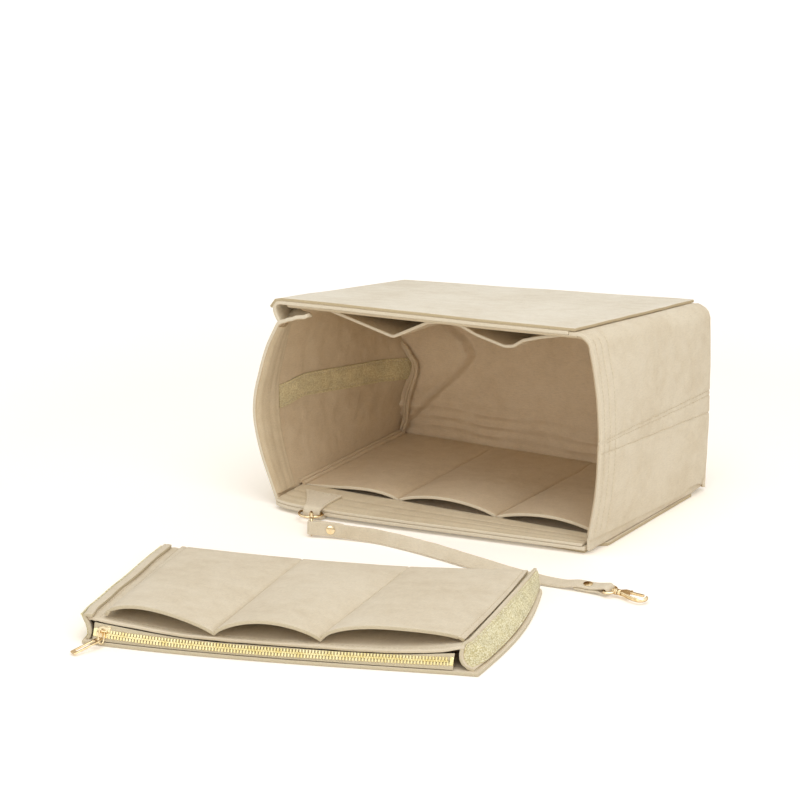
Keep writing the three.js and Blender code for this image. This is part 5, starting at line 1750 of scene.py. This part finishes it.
def makeRing():
    form = ringForm
    half, leg = form["halfWidth"], form["leg"]
    path = [(-half + 1.6, 0), (half - 1.6, 0), (half, -1.6), (half, -leg)]
    path += [(x, y - leg) for x, y in arc((0, 0), half, -8, -172, 14)]
    path += [(-half, -leg), (-half, -1.6)]
    middle = Vector((tabForm["x"], foldY - form["forward"], tabForm["foldZ"]))
    points = smoothPath([middle + Vector((x, y, 0)) for x, y in path], 72, closed=True)
    bm = bmesh.new()
    tube(bm, points, [form["wire"]] * 72, closed=True, sides=4)
    finishPiece("key_ring_gold", bm, "key_ring", [gold], ("key_ring",))


makeRing()


# Rivets of the strap: domed caps on a post
def makeRivet(end, name):
    share = strapForm["rivet"] / strapLength
    middle, _, wide, face = strapFrame(share if end == 0 else 1 - share)
    centre = middle - face * strapForm["layerDrop"] / 2 + strapShift
    seat = strapForm["thickness"] + 0.45
    cap = [(seat, 1.3), (seat, 3.5), (seat + 0.15, 3.7), (seat + 0.4, 3.6)]
    cap += [(seat + 0.7, 2.6), (seat + 0.88, 1.3), (seat + 0.9, 0)]
    profile = [(-along, radius) for along, radius in reversed(cap)] + cap
    bm = bmesh.new()
    addTurned(bm, profile, axesMatrix(centre, face, wide, face.cross(wide)))
    return finishPiece(name + "_gold", bm, "case", [gold], (name,), hard=True)


makeRivet(0, "strap_rivet_a")
makeRivet(1, "strap_rivet_b")

# Swivel clasps: u runs from the strap's bar to the tip of the hook, v across it
claspForm = {
    "eyeHalf": 7.2, "eyeWire": 0.9, "eyeInner": 6.4, "boss": 2.5, "bossEnd": 9.2, "bore": 1.25,
    "shank": 2.2, "pivot": (16.4, 2.3), "claw": (28.4, 5.15), "body": 3.4, "gate": 1.6,
}
claspSpots = {
    "a": axesMatrix(
        (-76.75167, -163.71955, 7.41262),
        (-0.51924, 0.854, -0.03275), (-0.00048, 0.03803, 0.99928), (0.85463, 0.51888, -0.01934),
    ),
    "b": axesMatrix(
        (186.85262, -172.2394, 4.46832),
        (0.99454, -0.09954, -0.0313), (0.10186, 0.99122, 0.08429), (0.02263, -0.08701, 0.99595),
    ),
}


def claspEye(name, spot):
    form = claspForm
    half, front = form["eyeHalf"] - form["eyeWire"], form["eyeInner"] + 0.7
    bm = bmesh.new()
    loop = [(0, -half + 0.8), (0, half - 0.8), (0.8, half), (3.4, half), (5.6, half - 1.6), (front, 2.2)]
    loop += [(front, -2.2), (5.6, 1.6 - half), (3.4, -half), (0.8, -half)]
    path = smoothPath([(u, v, 0) for u, v in loop], 64, closed=True)
    tube(bm, path, [form["eyeWire"]] * 64, closed=True, sides=4, matrix=spot)
    low, high, outer, inner = form["eyeInner"], form["bossEnd"], form["boss"], form["bore"]
    collar = [(low, inner), (low, outer - 0.4), (low + 0.3, outer), (7.6, outer), (7.9, outer - 0.35)]
    collar += [(8.3, outer), (high - 0.3, outer), (high, outer - 0.3), (high, inner), (low, inner)]
    addTurned(bm, collar, spot)
    return finishPiece(name + "_gold", bm, "case", [gold], (name,), hard=True)


def claspHook(name, spot, body):
    form = claspForm
    clawU, clawRadius = form["claw"]
    bm = bmesh.new()
    stud = [(4.7, 0), (4.7, 1.5), (5.0, 1.9), (5.8, 1.9), (6.1, 1.5), (6.1, 1.0)]
    stud += [(9.5, 1.0), (9.5, 2.0), (9.9, 2.3), (11.4, 2.3), (12.1, 1.9), (12.5, 0)]
    addTurned(bm, stud, spot)
    shank = form["shank"]
    cheek = [(11.4, -shank), (14.2, -shank), (19.4, -3.7), (21.2, -2.9), (18.9, -0.6)]
    cheek += [(18.6, 1.6), (17.6, 4.4), (14.4, 4.4), (11.4, 2.0)]
    thick = (form["body"] - 2.1) / 2
    for side in (-1, 1):
        out = side * (form["body"] - thick) / 2
        addPlate(bm, [cheek], thick, 0.22, spot @ Matrix.Translation((0, 0, out)))
    path = [(13.0, -0.9), (17.0, -2.2), (21.0, -3.9), (24.6, -4.9)]
    path += arc((clawU, 0), clawRadius, 258, 410, 15)
    points = smoothPath([(u, v, 0) for u, v in path], 60)
    radii = [1.05 * (0.45 + 0.55 * clamp((59 - i) / 5)) for i in range(60)]
    flat = Matrix.Diagonal((1, 1, 1.55, 1))
    tube(bm, points, radii, sides=4, matrix=spot @ flat)
    return finishPiece(name + "_gold", bm, body, [gold], (name,), hard=True)


def claspGate(name, spot, body):
    form = claspForm
    pivotU, pivotV = form["pivot"]
    outline = arc((pivotU, pivotV), 1.2, 100, 290, 9)
    outline += [(20.5, 2.6), (25.0, 2.85), (29.5, 2.9), (29.5, 5.0), (25.5, 5.1), (21.5, 4.9), (19.4, 4.9)]
    outline += [(18.8, 6.5), (18.0, 6.9), (17.2, 6.5), (16.7, 4.6)]
    bm = bmesh.new()
    addPlate(bm, [outline], form["gate"], 0.35, spot)
    return finishPiece(name + "_gold", bm, body, [gold], (name,), hard=True)


def claspPin(name, spot, body):
    half = claspForm["body"] / 2
    cap = [(half - 0.1, 0.6), (half + 0.08, 0.5), (half + 0.16, 0.3), (half + 0.18, 0)]
    profile = [(-along, radius) for along, radius in reversed(cap)] + cap
    across = Matrix.Translation((*claspForm["pivot"], 0)) @ Matrix.Rotation(math.pi / 2, 4, "Y")
    bm = bmesh.new()
    addTurned(bm, profile, spot @ across, 16)
    return finishPiece(name + "_gold", bm, body, [gold], (name,), hard=True)


for letter, spot in claspSpots.items():
    hook, gate = "clasp_" + letter + "_hook", "clasp_" + letter + "_gate"
    claspEye("clasp_" + letter + "_eye", spot)
    claspHook(hook, spot, hook)
    claspGate(gate, spot, gate)
    claspPin("clasp_" + letter + "_pin", spot, hook)
print("metal made")

# Floor, light and background
studio = {
    "floor": (0.965, 0.93, 0.88),
    "key": 25.0,
    "side": 9.0,
    "front": 7.5,
    "world": 0.58,
    "white": 1.02,  # the background as the camera sees it
    "paintedWarmBounce": (1.0, 0.87, 0.68),  # the floor's own glow: near the object a warm tint, painted bounce light in its shadows, and far from it white
    "farTint": (1.0, 1.0, 0.99),
    "near": 0.23,
    "far": 0.75,
    "nearRadius": 0.45,
    "farRadius": 2.2,
}


def seenRays(nodes, links):  # 1 for rays from the camera, off shiny things and through clear ones
    path = nodes.new("ShaderNodeLightPath")
    seen = sums(nodes, links, "MAXIMUM", path.outputs["Is Camera Ray"], path.outputs["Is Glossy Ray"])
    return sums(nodes, links, "MAXIMUM", seen, path.outputs["Is Transmission Ray"])


def makeStudio(form):
    scene = bpy.context.scene
    scene.view_settings.view_transform = "Standard"
    bm = bmesh.new()
    bmesh.ops.create_grid(bm, x_segments=1, y_segments=1, size=6)
    mesh = bpy.data.meshes.new("floor")
    bm.to_mesh(mesh)
    bm.free()
    floor = bpy.data.objects.new("floor", mesh)
    floor.location = (0, 0, -0.0004)
    scene.collection.objects.link(floor)
    material, nodes, links, shader = startMaterial("studio floor", 0.9)
    shader.inputs["Base Color"].default_value = (*form["floor"], 1)
    shader.inputs["Specular IOR Level"].default_value = 0.1
    seen = seenRays(nodes, links)
    away = nodes.new("ShaderNodeVectorMath")
    away.operation = "LENGTH"
    links.new(nodes.new("ShaderNodeTexCoord").outputs["Object"], away.inputs[0])
    glow = nodes.new("ShaderNodeMapRange")
    links.new(away.outputs["Value"], glow.inputs["Value"])
    spread = sums(nodes, links, "MULTIPLY", away.outputs["Value"], 1 / form["farRadius"])
    nearShare = form["nearRadius"] / form["farRadius"]
    # The glow's colour is warm near the object, painted bounce light in the floor's shadows, and white
    # further off.
    paintedLightTint = ramp(nodes, links, spread, [(nearShare, form["paintedWarmBounce"]), (0.45, form["farTint"])])
    links.new(paintedLightTint, shader.inputs["Emission Color"])
    for socket, key in zip(list(glow.inputs)[1:5], ("nearRadius", "farRadius", "near", "far")):
        socket.default_value = form[key]
    strength = sums(nodes, links, "MULTIPLY", seen, glow.outputs["Result"])
    links.new(strength, shader.inputs["Emission Strength"])
    mesh.materials.append(material)
    world = bpy.data.worlds.new("studio")
    scene.world = world
    world.use_nodes = True
    nodes, links = world.node_tree.nodes, world.node_tree.links
    back = nodes["Background"]
    back.inputs["Color"].default_value = (1, 1, 1, 1)
    level = sums(nodes, links, "MULTIPLY", seenRays(nodes, links), form["white"] - form["world"])
    links.new(sums(nodes, links, "ADD", level, form["world"]), back.inputs["Strength"])
    for name, place, aim, size, power in (
        ("key light", (0.5, -0.6, 2.2), (0, -0.1, 0), 2.0, form["key"]),
        ("side light", (2.2, -1.2, 1.1), (0, 0, 0.08), 1.6, form["side"]),
        ("front light", (-0.3, -2.8, 0.7), (0, 0.1, 0.08), 1.4, form["front"]),
    ):
        data = bpy.data.lights.new(name, "AREA")
        data.size = size
        data.energy = power
        lamp = bpy.data.objects.new(name, data)
        lamp.location = place
        lamp.rotation_mode = "QUATERNION"
        lamp.rotation_quaternion = (Vector(aim) - Vector(place)).to_track_quat("-Z", "Y")
        scene.collection.objects.link(lamp)


makeStudio(studio)
print("studio set")
